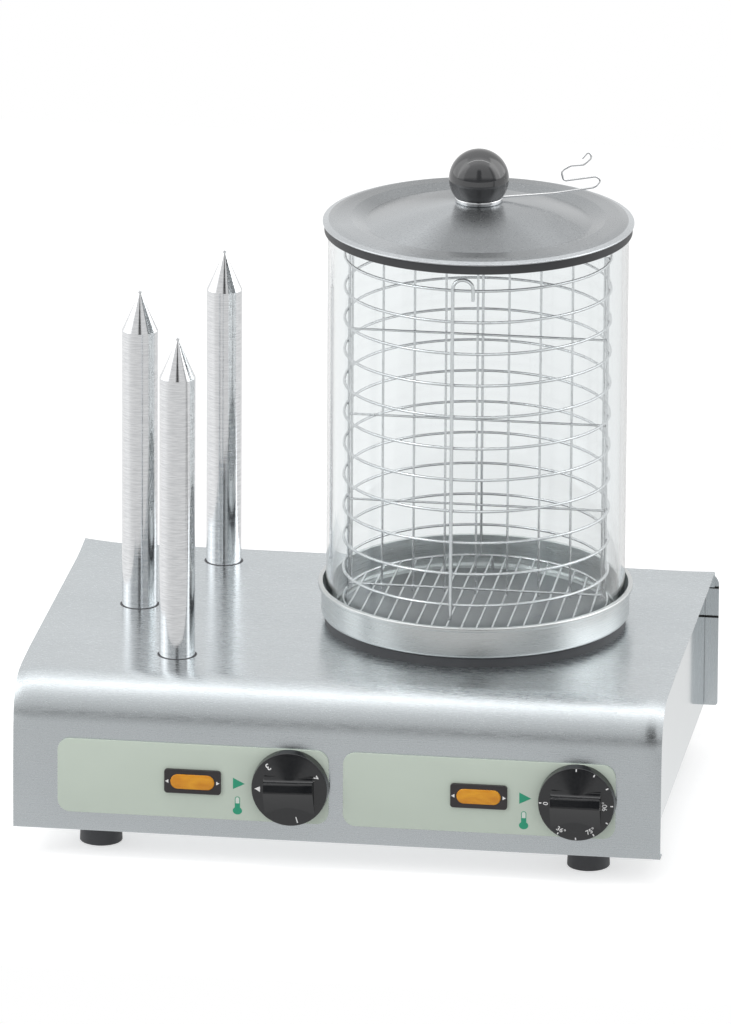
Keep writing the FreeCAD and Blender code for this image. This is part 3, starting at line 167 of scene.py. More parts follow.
studioSpec = {
    "ambient": 0.62,                       # what lights matt surfaces
    "floorTone": 0.80,
    "floorGlow": 0.55,
    "floorX": (-1.2, 1.2),
    "floorY": (-0.36, 1.6),
    "aim": (0.0, 0.0, 0.12),               # where the lamps point
    "ahead": (-0.139, 0.990),              # the camera's direction on plan
    "turnShare": 1.022,                    # and its turn as a share of a whole one, plus one
    # what shiny surfaces see over the object, from level behind it (0) to level in front (1)
    "vault": ((0.0, 1.0), (0.12, 0.92), (0.22, 0.92), (0.29, 1.02), (0.41, 1.22), (0.46, 1.75),
              (0.52, 1.85), (0.58, 1.50), (0.62, 1.12), (0.71, 0.86), (0.79, 0.76), (0.88, 0.76),
              (0.925, 0.36), (0.95, 0.13), (1.0, 0.10)),
    "strip": ((0.0, 0.0), (0.488, 0.0), (0.490, 3.5), (0.502, 3.5), (0.504, 0.0)),
    "stripAbove": ((0.0, 0.0), (0.80, 0.0), (0.82, 1.0)),
    # and low down, by direction: 0.5 lies towards the camera, less is to its right
    "level": ((0.0, 0.92), (0.12, 0.80), (0.25, 0.86), (0.32, 0.86), (0.336, 0.28),
              (0.352, 0.73), (0.42, 0.73), (0.58, 0.73), (0.66, 0.80), (0.74, 0.98), (1.0, 0.95)),
    # dark uprights beside and in front, up to half way
    "uprights": ((0.32, 1.0), (0.336, 0.4), (0.352, 1.0), (0.462, 1.0), (0.482, 0.10),
                 (0.516, 0.10), (0.536, 1.0)),
    "uprightsTall": ((0.0, 0.0), (0.06, 0.0), (0.12, 1.0), (0.70, 1.0), (0.80, 0.0)),
    # bright boxes to the right and left, added to the rest
    "boxes": ((0.12, 0.0), (0.15, 1.1), (0.30, 1.1), (0.318, 0.0), (0.66, 0.0), (0.68, 0.6),
              (0.84, 0.6), (0.87, 0.0)),
    "boxesTall": ((0.0, 0.0), (0.03, 1.0), (0.78, 1.0), (0.84, 0.0)),
    "top": {"place": (-0.15, -0.50, 1.55), "size": (1.7, 0.62), "power": 7.0},
    "left": {"place": (-1.9, -1.7, 1.5), "size": (1.3, 1.3), "power": 16.0},
}


def directionRound(wiring, x, y):
    # 0.5 lies towards the camera, 0 and 1 away from it
    turn = wiring.math("DIVIDE", wiring.math("ARCTAN2", x, y), math.tau)
    return wiring.math("FRACT", wiring.plus(turn, studioSpec["turnShare"]))


def makeWorld(spec):
    world = bpy.data.worlds.new("studio")
    world.use_nodes = True
    bpy.context.scene.world = world
    wiring = Wiring(world.node_tree)
    x, y, z = wiring.axes(wiring.place("Generated"))
    around = directionRound(wiring, x, y)
    aside, ahead = spec["ahead"]
    behind = wiring.math("SUBTRACT", wiring.times(y, ahead), wiring.times(x, -aside))
    over = wiring.math("DIVIDE", wiring.math("ARCTAN2", z, behind), math.pi)
    gap = wiring.rest(wiring.ramp(around, *spec["uprights"]))
    gap = wiring.times(gap, wiring.ramp(z, *spec["uprightsTall"]))
    vault = wiring.times(wiring.ramp(over, *spec["vault"]), wiring.rest(gap))
    boxes = wiring.times(wiring.ramp(z, *spec["boxesTall"]), wiring.ramp(around, *spec["boxes"]))
    strip = wiring.times(wiring.ramp(over, *spec["strip"]), wiring.ramp(z, *spec["stripAbove"]))
    vault = wiring.plus(wiring.plus(vault, boxes), strip)
    below = wiring.math("LESS_THAN", z, 0.0)
    shine = wiring.plus(wiring.times(below, wiring.ramp(around, *spec["level"])),
                        wiring.times(wiring.rest(below), vault))
    shiny = wiring.rays("Glossy")
    tone = wiring.plus(wiring.times(shiny, shine),
                       wiring.times(wiring.rest(shiny), spec["ambient"]))
    tone = wiring.math("MAXIMUM", tone, wiring.rays("Camera", "Transmission"))
    background = world.node_tree.nodes["Background"]
    wiring.join(tone, background.inputs["Strength"])
    wiring.join(white, background.inputs["Color"])


def makeFloor(spec):
    (left, right), (front, back) = spec["floorX"], spec["floorY"]
    shape = bmesh.new()
    bmesh.ops.create_grid(shape, x_segments=1, y_segments=1, size=0.5)
    bmesh.ops.scale(shape, vec=(right - left, back - front, 1), verts=shape.verts)
    bmesh.ops.translate(shape, vec=((left + right) / 2, (front + back) / 2, 0),
                        verts=shape.verts)
    floor = addObject("floor", meshFrom(shape, "floor"))
    material = bpy.data.materials.new("paleFloor")
    material.use_nodes = True
    nodes = material.node_tree.nodes
    nodes.remove(nodes["Principled BSDF"])
    wiring = Wiring(material.node_tree)
    matt = wiring.gather("ShaderNodeBsdfDiffuse", (*[spec["floorTone"]] * 3, 1))
    seen = wiring.times(wiring.rays("Camera", "Transmission"), spec["floorGlow"])
    glow = wiring.gather("ShaderNodeEmission", white, seen)
    # shiny surfaces see the floor as evenly lit
    around = directionRound(wiring, *wiring.axes(wiring.place())[:2])
    mirrored = wiring.gather("ShaderNodeEmission", white, wiring.ramp(around, *spec["level"]))
    both = wiring.gather("ShaderNodeAddShader", matt, glow)
    chosen = wiring.gather("ShaderNodeMixShader", wiring.rays("Glossy"), both, mirrored)
    wiring.join(chosen, nodes["Material Output"].inputs[0])
    floor.data.materials.append(material)


def makeLamp(name, spec):
    data = bpy.data.lights.new(name, "AREA")
    data.shape = "RECTANGLE"
    data.size, data.size_y = spec["size"]
    data.energy = spec["power"]
    lamp = addObject(name, data)
    lamp.location = spec["place"]
    way = Vector(studioSpec["aim"]) - Vector(spec["place"])
    lamp.rotation_euler = way.to_track_quat("-Z", "Y").to_euler()
    lamp.visible_glossy = False            # the world holds what shiny surfaces show


makeCamera(cameraSpec)
makeWorld(studioSpec)
makeFloor(studioSpec)
makeLamp("topSoftbox", studioSpec["top"])
makeLamp("leftSoftbox", studioSpec["left"])
bpy.context.scene.view_settings.view_transform = "Standard"
print("studio ready")


# ---- finishes

def plainFinish(name, colour, roughness, metallic=0.0, **sockets):
    material = bpy.data.materials.new(name)
    material.use_nodes = True
    shader = material.node_tree.nodes["Principled BSDF"]
    shader.inputs["Base Color"].default_value = (*colour, 1)
    shader.inputs["Roughness"].default_value = roughness
    shader.inputs["Metallic"].default_value = metallic
    for key, value in sockets.items():
        shader.inputs[key.replace("_", " ")].default_value = value
    return material, shader, Wiring(material.node_tree)


def noiseOn(wiring, vector, detail, roughness=0.5):
    noise = wiring.add("ShaderNodeTexNoise", Scale=1.0, Detail=detail, Roughness=roughness)
    wiring.join(vector, noise.inputs["Vector"])
    return noise.outputs["Fac"]


def pattern(wiring, scale, detail=3.0, roughness=0.6):
    # noise on object coordinates, stretched by the three scales (per metre)
    mapping = wiring.add("ShaderNodeMapping", Scale=scale)
    wiring.join(wiring.place(), mapping.inputs["Vector"])
    return noiseOn(wiring, mapping.outputs[0], detail, roughness)


def addBump(wiring, shader, height, strength, distance=0.3 * mm):
    bump = wiring.add("ShaderNodeBump", Strength=strength, Distance=distance)
    wiring.join(height, bump.inputs["Height"])
    wiring.join(bump.outputs[0], shader.inputs["Normal"])


def stretchHighlights(wiring, shader, share, along):
    # the highlights spread across the scratches, which run along the given direction
    shader.inputs["Anisotropic"].default_value = share
    shader.inputs["Anisotropic Rotation"].default_value = quarterTurn
    wiring.join(wiring.gather("ShaderNodeCombineXYZ", *along), shader.inputs["Tangent"])


def brushedFinish(name, spec):
    # long fine scratches along one axis, with cloudy differences in tone and gloss
    material, shader, wiring = plainFinish(name, spec["tones"][0], spec["gloss"][0], 1.0)
    scratches = pattern(wiring, spec["scratchScale"], 4.0, 0.65)
    clouds = pattern(wiring, spec["cloudScale"], 2.0, 0.5)
    share = spec["scratchShare"]
    tone = wiring.plus(wiring.times(scratches, share), wiring.times(clouds, 1 - share))
    colour = wiring.between(tone, spec["tones"])
    # painted shade in the grooves, where the spec has them
    if "grooves" in spec:
        colour = paintedGrooveShade(wiring, colour, spec["grooves"])
    wiring.join(colour, shader.inputs["Base Color"])
    wiring.join(wiring.between(scratches, spec["gloss"], 0.35), shader.inputs["Roughness"])
    if spec["along"]:
        stretchHighlights(wiring, shader, spec["stretch"], spec["along"])
    addBump(wiring, shader, scratches, spec["bump"], 0.4 * mm)
    return material


def paintedGrooveShade(wiring, colour, spec):
    # painted shade: the colour of the pressed grooves at both ends of the rear panel is darkened to
    # stand in for the shadow inside them
    x, y, z = wiring.axes(wiring.place())
    outside = wiring.math("GREATER_THAN", wiring.math("ABSOLUTE", x), spec["from"])
    front = wiring.math("LESS_THAN", y, spec["behind"])
    groove = 0.0
    for level in spec["levels"]:
        apart = wiring.math("ABSOLUTE", wiring.math("SUBTRACT", z, level))
        groove = wiring.plus(wiring.math("LESS_THAN", apart, spec["half"]), groove)
    shadeMask = wiring.times(wiring.times(outside, front), groove)
    return wiring.mix(shadeMask, colour, (*[spec["tone"]] * 3, 1))


steelSpec = {
    "tones": ((0.560, 0.597, 0.617), (0.640, 0.677, 0.697)),
    "gloss": (0.22, 0.30),
    "scratchScale": (110.0, 1100.0, 1100.0),
    "cloudScale": (9.0, 22.0, 22.0),
    "scratchShare": 0.6,
    "bump": 0.035,
    "along": (1, 0, 0),
    "stretch": 0.88,
}
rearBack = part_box("rear_panel")[1][1]
# painted shade for the rear panel's grooves: where they lie and how dark they are painted
grooveShadeSpec = {"from": 209.4 * mm, "behind": rearBack, "levels": (112.55 * mm, 91.75 * mm),
              "half": 0.85 * mm, "tone": 0.03}


def ringScratchFinish(name, spec, centre):
    # scratches round an upright axis: the noise changes slowly with the angle and fast otherwise
    material, shader, wiring = plainFinish(name, spec["tones"][0], spec["gloss"][0], 1.0)
    shift = wiring.add("ShaderNodeMapping", Location=[-c for c in centre])
    wiring.join(wiring.place(), shift.inputs["Vector"])
    x, y, z = wiring.axes(shift.outputs[0])
    radius = wiring.math("SQRT", wiring.plus(wiring.times(x, x), wiring.times(y, y)))
    around = wiring.math("ARCTAN2", y, x)
    spots = wiring.gather("ShaderNodeCombineXYZ", wiring.times(radius, spec["fine"]),
                          wiring.times(around, spec["along"]), wiring.times(z, spec["fine"]))
    scratches = noiseOn(wiring, spots, 4.0)
    colour = wiring.between(scratches, spec["tones"], 0.32)
    gloss = wiring.between(scratches, spec["gloss"], 0.35)
    if "paintedSectors" in spec:
        # painted reflection: the colour is made lighter and darker in sectors, standing in for the
        # bright and dark sectors that spun metal reflects; the share of a turn runs from the right,
        # and the folded rim gets a painted highlight all round
        share = wiring.math("FRACT", wiring.math("DIVIDE", around, math.tau))
        inside = wiring.math("LESS_THAN", radius, spec["paintedSectorsWithin"])
        paintedSectors = wiring.times(inside, wiring.ramp(share, *spec["paintedSectors"]))
        rim = wiring.times(wiring.rest(inside), spec["rimHighlightTone"])
        colour = wiring.mix(1.0, colour, wiring.plus(paintedSectors, rim), "MULTIPLY")
    if "shadeWithin" in spec:
        # painted shade: the floor of the pan is painted darker, standing in for the shadow inside
        # it, and made rougher
        shadedFloor = wiring.math("LESS_THAN", radius, spec["shadeWithin"])
        colour = wiring.mix(shadedFloor, colour, (*spec["paintedShadeTone"], 1))
        gloss = wiring.plus(gloss, wiring.times(shadedFloor, spec["dullGloss"]))
    wiring.join(colour, shader.inputs["Base Color"])
    wiring.join(gloss, shader.inputs["Roughness"])
    if "stretch" in spec:
        stretchHighlights(wiring, shader, spec["stretch"], (wiring.times(y, -1.0), x))
    addBump(wiring, shader, scratches, spec["bump"])
    return material


cloudScale = 30
glossSpread = 0.05


def grainFinish(name, colour, roughness, grain, bump, metallic=0.0, spread=0.12, bending=1.5):
    # fine even grain, as on moulded plastic, rubber and castings
    material, shader, wiring = plainFinish(name, colour, roughness, metallic, IOR=bending)
    fine = pattern(wiring, (grain,) * 3)
    cloud = pattern(wiring, (cloudScale,) * 3, 2.0, 0.5)
    dark = tuple(c * (1 - spread) for c in colour)
    light = tuple(min(1.0, c * (1 + spread)) for c in colour)
    wiring.join(wiring.between(cloud, (dark, light)), shader.inputs["Base Color"])
    gloss = (max(0.0, roughness - glossSpread), roughness + glossSpread)
    wiring.join(wiring.between(fine, gloss), shader.inputs["Roughness"])
    addBump(wiring, shader, fine, bump)
    return material


steamCentre = (Vector(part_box("water_pan")[0]) + Vector(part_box("water_pan")[1])) / 2
panSpec = {"tones": ((0.585, 0.605, 0.605), (0.635, 0.655, 0.655)), "gloss": (0.26, 0.34),
           "fine": 3200.0, "along": 4.0, "bump": 0.02,
           # the floor of the pan is painted darker as painted shade, out to the given radius
           "shadeWithin": 92 * mm, "paintedShadeTone": (0.285, 0.30, 0.31), "dullGloss": 0.16}
lidSpec = {"tones": ((0.44, 0.46, 0.475), (0.49, 0.51, 0.525)), "gloss": (0.26, 0.34),
           "fine": 1800.0, "along": 30.0, "bump": 0.02, "stretch": 0.85,
           # painted reflection in sectors of the lid, and a painted highlight on its folded rim
           "paintedSectorsWithin": 99.6 * mm, "rimHighlightTone": 1.25,
           "paintedSectors": ((0.0, 0.80), (0.08, 0.84), (0.18, 0.70), (0.30, 0.60), (0.44, 0.62),
                       (0.50, 0.84), (0.56, 1.08), (0.66, 1.04), (0.72, 0.60), (0.80, 0.60),
                       (0.88, 0.80), (0.95, 0.84), (1.0, 0.80))}
spikeSpec = {"tones": ((0.70, 0.71, 0.725), (0.86, 0.87, 0.88)), "gloss": (0.08, 0.16),
             "fine": 1100.0, "along": 1.5, "bump": 0.07}

finishes = {
    "steel": brushedFinish("brushedSteel", steelSpec),
    "mirrorSteel": brushedFinish("polishedSteel", {
        **steelSpec, "tones": ((0.71, 0.755, 0.77), (0.76, 0.805, 0.82)), "gloss": (0.06, 0.10),
        "bump": 0.01, "along": None}),
    "endSteel": brushedFinish("uprightBrushedSteel", {
        **steelSpec, "scratchScale": (1500.0, 1500.0, 14.0), "cloudScale": (30.0, 30.0, 10.0),
        "tones": ((0.50, 0.535, 0.555), (0.56, 0.595, 0.615)), "gloss": (0.22, 0.32),
        "along": None, "grooves": grooveShadeSpec}),
    "pan": ringScratchFinish("spunSteel", panSpec, steamCentre),
    "lid": ringScratchFinish("satinSteel", lidSpec, steamCentre),
}
# name, colour, roughness, grain per metre, bump, metallic, spread of tone, index of refraction
grainSpecs = {
    "wire": ("brightWire", (0.61, 0.62, 0.63), 0.24, 900, 0.02, 1.0, 0.05),
    "bright": ("brightSteel", (0.78, 0.79, 0.80), 0.10, 500, 0.0, 1.0, 0.03),
    "zinc": ("zincPlate", (0.52, 0.54, 0.56), 0.34, 700, 0.08, 1.0, 0.10),
    "plate": ("sagePaint", (0.58, 0.655, 0.575), 0.38, 1400, 0.05, 0.0, 0.015),
    "blackGloss": ("blackMoulding", (0.009, 0.0098, 0.0115), 0.14, 600, 0.01, 0.0, 0.12, 1.62),
    "ball": ("blackBall", (0.042, 0.043, 0.046), 0.05, 200, 0.004, 0.0, 0.12, 1.75),
    "bezel": ("bezelPlastic", (0.028, 0.024, 0.026), 0.35, 900, 0.05),
    "rubber": ("blackRubber", (0.078, 0.080, 0.086), 0.55, 900, 0.12),
    "seal": ("greySeal", (0.045, 0.047, 0.050), 0.45, 900, 0.08),
    "whitePrint": ("whitePrint", (0.85, 0.85, 0.85), 0.5, 900, 0.03, 0.0, 0.02),
    "stemPrint": ("stemPrint", (0.68, 0.74, 0.69), 0.5, 900, 0.03, 0.0, 0.02),
    "greenPrint": ("greenPrint", (0.022, 0.33, 0.19), 0.45, 900, 0.03, 0.0, 0.05),
    "castIron": ("castIron", (0.11, 0.11, 0.115), 0.55, 500, 0.25, 0.6),
    "element": ("oxidisedSheath", (0.16, 0.15, 0.14), 0.5, 600, 0.2, 0.8),
    "phenolic": ("brownBlackPhenolic", (0.03, 0.027, 0.025), 0.45, 700, 0.1),
    "copper": ("drawnCopper", (0.70, 0.36, 0.22), 0.30, 500, 0.05, 1.0),
    "nylon": ("paleNylon", (0.72, 0.71, 0.66), 0.5, 600, 0.06),
}
for key, values in grainSpecs.items():
    finishes[key] = grainFinish(*values)
print("finishes ready")


# ---- mesh helpers

def roundedPath(corners, steps=6, closed=True):
    # corners are (x, y) or (x, y, radius); a radius becomes an arc
    spots = [Vector(c[:2]) for c in corners]
    path = []
    for index, corner in enumerate(corners):
        radius = corner[2] if len(corner) > 2 else 0
        atEnd = not closed and index in (0, len(corners) - 1)
        if not radius or atEnd:
            path.append(spots[index])
            continue
        back = (spots[index - 1] - spots[index]).normalized()
        ahead = (spots[(index + 1) % len(spots)] - spots[index]).normalized()
        half = back.angle(ahead) / 2
        reach = radius / math.tan(half)
        middle = spots[index] + (back + ahead).normalized() * radius / math.sin(half)
        start = spots[index] + back * reach - middle
        turn = start.angle_signed(spots[index] + ahead * reach - middle)
        for step in range(steps + 1):
            spoke = start.copy()
            spoke.rotate(Matrix.Rotation(-turn * step / steps, 2))
            path.append(middle + spoke)
    return path


def chain(shape, spots, closed=True):
    # vertices joined by edges; spots are 3-D places
    verts = [shape.verts.new(s) for s in spots]
    pairs = zip(verts, verts[1:] + (verts[:1] if closed else []))
    return verts, [shape.edges.new(pair) for pair in pairs]


def braced(profile, closed, gap=0.3 * mm):
    # extra points near both ends of every long run, so that flat stretches shade flat
    spots = [Vector(p) for p in profile]
    path = []
    for index, spot in enumerate(spots):
        path.append(spot)
        if index == len(spots) - 1 and not closed:
            break
        run = spots[(index + 1) % len(spots)] - spot
        if run.length > 4 * gap:
            path += [spot + run.normalized() * gap, spot + run * (1 - gap / run.length)]
    return path


def turnedShape(profile, steps=128, closed=True, shape=None):
    # spins a profile of (radius, height) about the upright axis
    shape = shape or bmesh.new()
    spots = [(r, 0, z) for r, z in braced(profile, closed)]
    verts, edges = chain(shape, spots, closed)
    bmesh.ops.spin(shape, geom=verts + edges, cent=(0, 0, 0), axis=(0, 0, 1), angle=math.tau,
                   steps=steps, use_merge=True)
    return shape


def tidyShape(shape):
    bmesh.ops.remove_doubles(shape, verts=shape.verts, dist=1e-7)
    bmesh.ops.dissolve_degenerate(shape, edges=shape.edges, dist=1e-7)
    bmesh.ops.recalc_face_normals(shape, faces=shape.faces)


def freshVerts(grown):
    return [g for g in grown["geom"] if isinstance(g, bmesh.types.BMVert)]


def slabShape(outline, low, high, bevel=0.0, shape=None):
    # a flat outline of (x, y) raised from low to high, its upper rim bevelled
    shape = shape or bmesh.new()
    verts = [shape.verts.new((x, y, low)) for x, y in outline]
    face = shape.faces.new(verts)
    top = freshVerts(bmesh.ops.extrude_face_region(shape, geom=[face]))
    bmesh.ops.translate(shape, vec=(0, 0, high - low), verts=top)
    if bevel:
        topSet = set(top)
        rim = [e for e in shape.edges if set(e.verts) <= topSet]
        bmesh.ops.bevel(shape, geom=rim, offset=bevel, affect="EDGES", segments=3, profile=0.5,
                        material=-1)
    return shape


def rodShape(start, end, radius, sides=14, shape=None):
    # a straight wire between two places
    shape = shape or bmesh.new()
    start, end = Vector(start), Vector(end)
    way = end - start
    place = Matrix.Translation((start + end) / 2) @ way.to_track_quat("Z", "Y").to_matrix().to_4x4()
    bmesh.ops.create_cone(shape, cap_ends=True, segments=sides, radius1=radius, radius2=radius,
                          depth=way.length, matrix=place)
    return shape


def meshFromCurve(curve):
    holder = bpy.data.objects.new(curve.name, curve)
    mesh = bpy.data.meshes.new_from_object(holder)
    bpy.data.objects.remove(holder)
    return mesh


def wireMesh(name, spots, radius, bend, smooth=10):
    # a bent wire: straight runs with round bends
    curve = bpy.data.curves.new(name, "CURVE")
    curve.dimensions = "3D"
    curve.bevel_depth = radius
    curve.bevel_resolution = 5
    curve.use_fill_caps = True
    spline = curve.splines.new("POLY")
    route = filletRoute([Vector(s) for s in spots], bend, smooth)
    spline.points.add(len(route) - 1)
    for point, spot in zip(spline.points, route):
        point.co = (*spot, 1)
    return meshFromCurve(curve)


def filletRoute(spots, bend, smooth, share=0.49):
    # bend is one radius or a list; a bend takes up to this share of the run on either side
    route = [spots[0]]
    for index in range(1, len(spots) - 1):
        back = spots[index - 1] - spots[index]
        ahead = spots[index + 1] - spots[index]
        half = back.angle(ahead) / 2
        radius = bend[index - 1] if isinstance(bend, (list, tuple)) else bend
        reach = min(radius / math.tan(half), back.length * share, ahead.length * share)
        radius = reach * math.tan(half)
        back, ahead = back.normalized(), ahead.normalized()
        middle = spots[index] + (back + ahead).normalized() * radius / math.sin(half)
        start = spots[index] + back * reach - middle
        end = spots[index] + ahead * reach - middle
        for step in range(smooth + 1):
            spoke = start.normalized().slerp(end.normalized(), step / smooth)
            route.append(middle + spoke * start.length)
    route.append(spots[-1])
    return route


def addPiece(name, source, body, finish, replaces=(), sharp=38, place=None):
    # source is a bmesh or a mesh; place is a matrix that moves it into position
    mesh = source
    if isinstance(source, bmesh.types.BMesh):
        tidyShape(source)
        mesh = meshFrom(source, name)
    mesh.name = name
    if place:
        mesh.transform(place)
    mesh.shade_smooth()
    mesh.set_sharp_from_angle(angle=math.radians(sharp))
    mesh.materials.clear()
    mesh.materials.append(finishes[finish] if isinstance(finish, str) else finish)
    piece = addObject(name, mesh)
    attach(piece, body)
    if replaces:
        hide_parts(*replaces)
    return piece


def standing(centre, level=0):
    return Matrix.Translation((centre.x, centre.y, level))


def addTurned(name, node, body, finish, corners, smooth, steps, place=None, closed=True, sharp=38):
    # a piece turned from a profile, over the pan's centre unless a place is given
    shape = turnedShape(roundedPath(corners, smooth, closed), steps, closed)
    addPiece(name, shape, body, finish, [node], place=place or standing(steamCentre), sharp=sharp)


def facing(centre):
    # turns a shape drawn as x right, y up, z outwards to face the front of the machine
    return Matrix.Translation(centre) @ Matrix.Rotation(math.radians(90), 4, "X")


def centreOf(node):
    low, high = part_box(node)
    return (Vector(low) + Vector(high)) / 2


def cutWith(piece, cutters, sharp):
    # takes the cutters' volumes away from a piece
    for cutter in cutters:
        tidyShape(cutter)
        holder = addObject("cutter", meshFrom(cutter, "cutter"))
        holder.hide_render = True
        knife = piece.modifiers.new("cut", "BOOLEAN")
        knife.operation = "DIFFERENCE"
        knife.solver = "EXACT"
        knife.object = holder
        graph = bpy.context.evaluated_depsgraph_get()
        done = bpy.data.meshes.new_from_object(piece.evaluated_get(graph))
        piece.modifiers.clear()
        piece.data = done
        bpy.data.objects.remove(holder)
    piece.data.set_sharp_from_angle(angle=math.radians(sharp))


# ---- housing

hoodSpec = {
    **lengths(sheet=1.0, frontBend=30, rearBend=4, flange=12, lip=10, roll=14, rollDrop=1.9,
              spikeHole=13.2, plateHole=91.5, cornerReach=40, rowPitch=6, cutReach=6),
    "bendSteps": 24, "sharp": 30, "cutSides": 96,
    # columns near each end in millimetres from it, close together where the sheet rolls over
    "columns": (0, 0.4, 0.9, 1.6, 2.5, 3.6, 5, 7, 9.5, 12, 16, 21, 27, 34, 42),
    "flatParts": 18,
    # the roll is full up to onBend bend radii from the bend's centre and gone at rollEnd
    "onBend": 1.02, "rollEnd": 1.6, "rollPower": 2.4,
    "cornerLift": lengths(left=3.2, right=1.0),      # the rear corners stand up a little
    "liftPower": 1.6,
}


def makeHood(spec):
    low, high = (Vector(c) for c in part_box("hood"))
    front, back, base, top = low.y, high.y, low.z, high.z
    bend = spec["frontBend"]
    profile = roundedPath([
        (front + spec["lip"], base), (front, base, spec["sheet"]), (front, top, bend),
        (back, top, spec["rearBend"]), (back, top - spec["flange"])],
        spec["bendSteps"], closed=False)
    # more rows where the panels are flat, so that the ends of the bend can roll over softly
    rows = []
    for start, end in zip(profile, profile[1:]):
        parts = max(1, int((end - start).length / spec["rowPitch"]))
        rows += [start.lerp(end, k / parts) for k in range(parts)]
    rows.append(profile[-1])
    shape = bmesh.new()
    edges = chain(shape, [(low.x, y, z) for y, z in rows], closed=False)[1]
    width = high.x - low.x
    columns = [c * mm for c in spec["columns"]]
    last, parts = columns[-1], spec["flatParts"]
    steps = columns + [last + (width - 2 * last) * k / parts for k in range(1, parts)]
    steps += [width - c for c in reversed(columns)]
    for near, far in zip(steps, steps[1:]):
        grown = bmesh.ops.extrude_edge_only(shape, edges=edges)
        fresh = freshVerts(grown)
        freshSet = set(fresh)
        edges = [g for g in grown["geom"] if isinstance(g, bmesh.types.BMEdge)
                 and freshSet.issuperset(g.verts)]
        bmesh.ops.translate(shape, vec=(far - near, 0, 0), verts=fresh)
    rollEnds(shape, spec, low.x, high.x, Vector((front + bend, top - bend)))
    liftCorners(shape, spec, low.x, high.x, back, top)
    tidyShape(shape)
    middle = min(shape.faces, key=lambda f: (f.calc_center_median() - Vector((0, 0, top))).length)
    if middle.normal.z < 0:
        bmesh.ops.reverse_faces(shape, faces=shape.faces)
    bmesh.ops.solidify(shape, geom=shape.faces[:], thickness=spec["sheet"])
    piece = addPiece("hoodSheet", shape, "housing", "steel", ["hood"], sharp=spec["sharp"])
    # holes for the hot plate and the spikes
    cutters = []
    for node in ("hot_plate", *spikeNodes):
        centre = centreOf(node)
        ends = [(centre.x, centre.y, top + way * spec["cutReach"]) for way in (-1, 1)]
        radius = spec["spikeHole"] if node in spikeNodes else spec["plateHole"]
        cutters.append(rodShape(*ends, radius, spec["cutSides"]))
    cutWith(piece, cutters, spec["sharp"])


def rollEnds(shape, spec, left, right, bendCentre):
    # the bend's two ends roll over softly, and the panels beside it a little
    roll, bend = spec["roll"], spec["frontBend"]
    for vert in shape.verts:
        edgeGap = min(vert.co.x - left, right - vert.co.x)
        if edgeGap >= roll:
            continue
        spoke = Vector((vert.co.y, vert.co.z)) - bendCentre
        away = spoke.length / bend
        share = 1.0 if away <= spec["onBend"] else max(0.0, min(1.0, spec["rollEnd"] - away))
        if vert.co.z < bendCentre.y - 2 * bend or share <= 0:
            continue
        drop = spec["rollDrop"] * (1 - edgeGap / roll) ** spec["rollPower"] * share
        inward = -spoke.normalized() * drop
        vert.co.y += inward.x
        vert.co.z += inward.y


def liftCorners(shape, spec, left, right, back, top):
    reach = spec["cornerReach"]
    for vert in shape.verts:
        fromBack = back - vert.co.y
        if fromBack > reach or vert.co.z < top - 3 * spec["flange"]:
            continue
        for side, gap in (("left", vert.co.x - left), ("right", right - vert.co.x)):
            share = max(0.0, 1 - gap / reach) * (1 - fromBack / reach)
            vert.co.z += spec["cornerLift"][side] * share ** spec["liftPower"]


makeHood(hoodSpec)

footSpec = lengths(bottom=14.3, top=12.9, round=1, recess=6, recessDeep=8, recessRound=0.6,
                   bore=2.6)


def makeFoot(node, spec):
    low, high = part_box(node)
    tall = high[2] - low[2]
    corners = [(spec["bore"], spec["recessDeep"]), (spec["recess"], spec["recessDeep"]),
               (spec["recess"], 0, spec["recessRound"]), (spec["bottom"], 0, spec["round"]),
               (spec["top"], tall), (spec["bore"], tall)]
    addTurned(node.replace("_", ""), node, "housing", "rubber", corners, 6, 96,
              standing(centreOf(node), low[2]))


for footNode in ("front_left_foot", "front_right_foot", "rear_left_foot", "rear_right_foot"):
    makeFoot(footNode, footSpec)
print("housing ready")


# ---- control plates, lamps and printed signs

plateSpec = lengths(corner=8.5, edge=0.35)
lampSpec = lengths(trim=0.9, corner=2.0, windowWide=29.6, windowTall=10.4, windowCorner=5.1,
                   face=2.0, edge=0.45, deep=6, cutLow=8, cutHigh=4, lensGap=0.05, lensProud=0.7,
                   lensEdge=0.9, arrow=2.6, arrowLong=2.21, arrowGap=0.7, print=0.06)
signSpec = lengths(triangle=7.9, triangleGap=34.6, thermoTall=13, bulb=3.1, stem=1.75,
                   print=0.06, thermoDrop=15.5, thermoGap=35.5, stemWall=0.5)
signShares = {"bulbTall": 0.85, "filled": 0.52, "stemRound": 0.98, "fieldRound": 0.7,
              "wallPrint": 0.6, "bulbSteps": 28}


def roundedRectangle(wide, tall, radius, steps=8):
    x, y = wide / 2, tall / 2
    return roundedPath([(-x, -y, radius), (x, -y, radius), (x, y, radius), (-x, y, radius)], steps)


def amberFinish():
    material, shader, wiring = plainFinish("amberLens", (0.86, 0.33, 0.012), 0.22,
                                           Transmission_Weight=0.15, IOR=1.49,
                                           Emission_Strength=0.0)
    wave = wiring.add("ShaderNodeTexWave", wave_type="BANDS", bands_direction="X", Scale=260.0)
    wiring.join(wiring.place(), wave.inputs["Vector"])
    addBump(wiring, shader, wave.outputs["Fac"], 0.12)
    tones = ((0.72, 0.25, 0.008), (0.93, 0.42, 0.02))
    wiring.join(wiring.between(pattern(wiring, (60, 60, 160), 2.0), tones),
                shader.inputs["Base Color"])
    return material


finishes["amber"] = amberFinish()


def makeControlPlate(side):
    low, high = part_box(f"{side}_control_plate")
    centre = centreOf(f"{side}_control_plate")
    outline = roundedRectangle(high[0] - low[0], high[2] - low[2], plateSpec["corner"], 10)
    addPiece(f"{side}ControlPlate", slabShape(outline, 0, high[1] - low[1], plateSpec["edge"]),
             "housing", "plate", [f"{side}_control_plate"],
             place=facing((centre.x, high[1], centre.z)))
    return low[1]


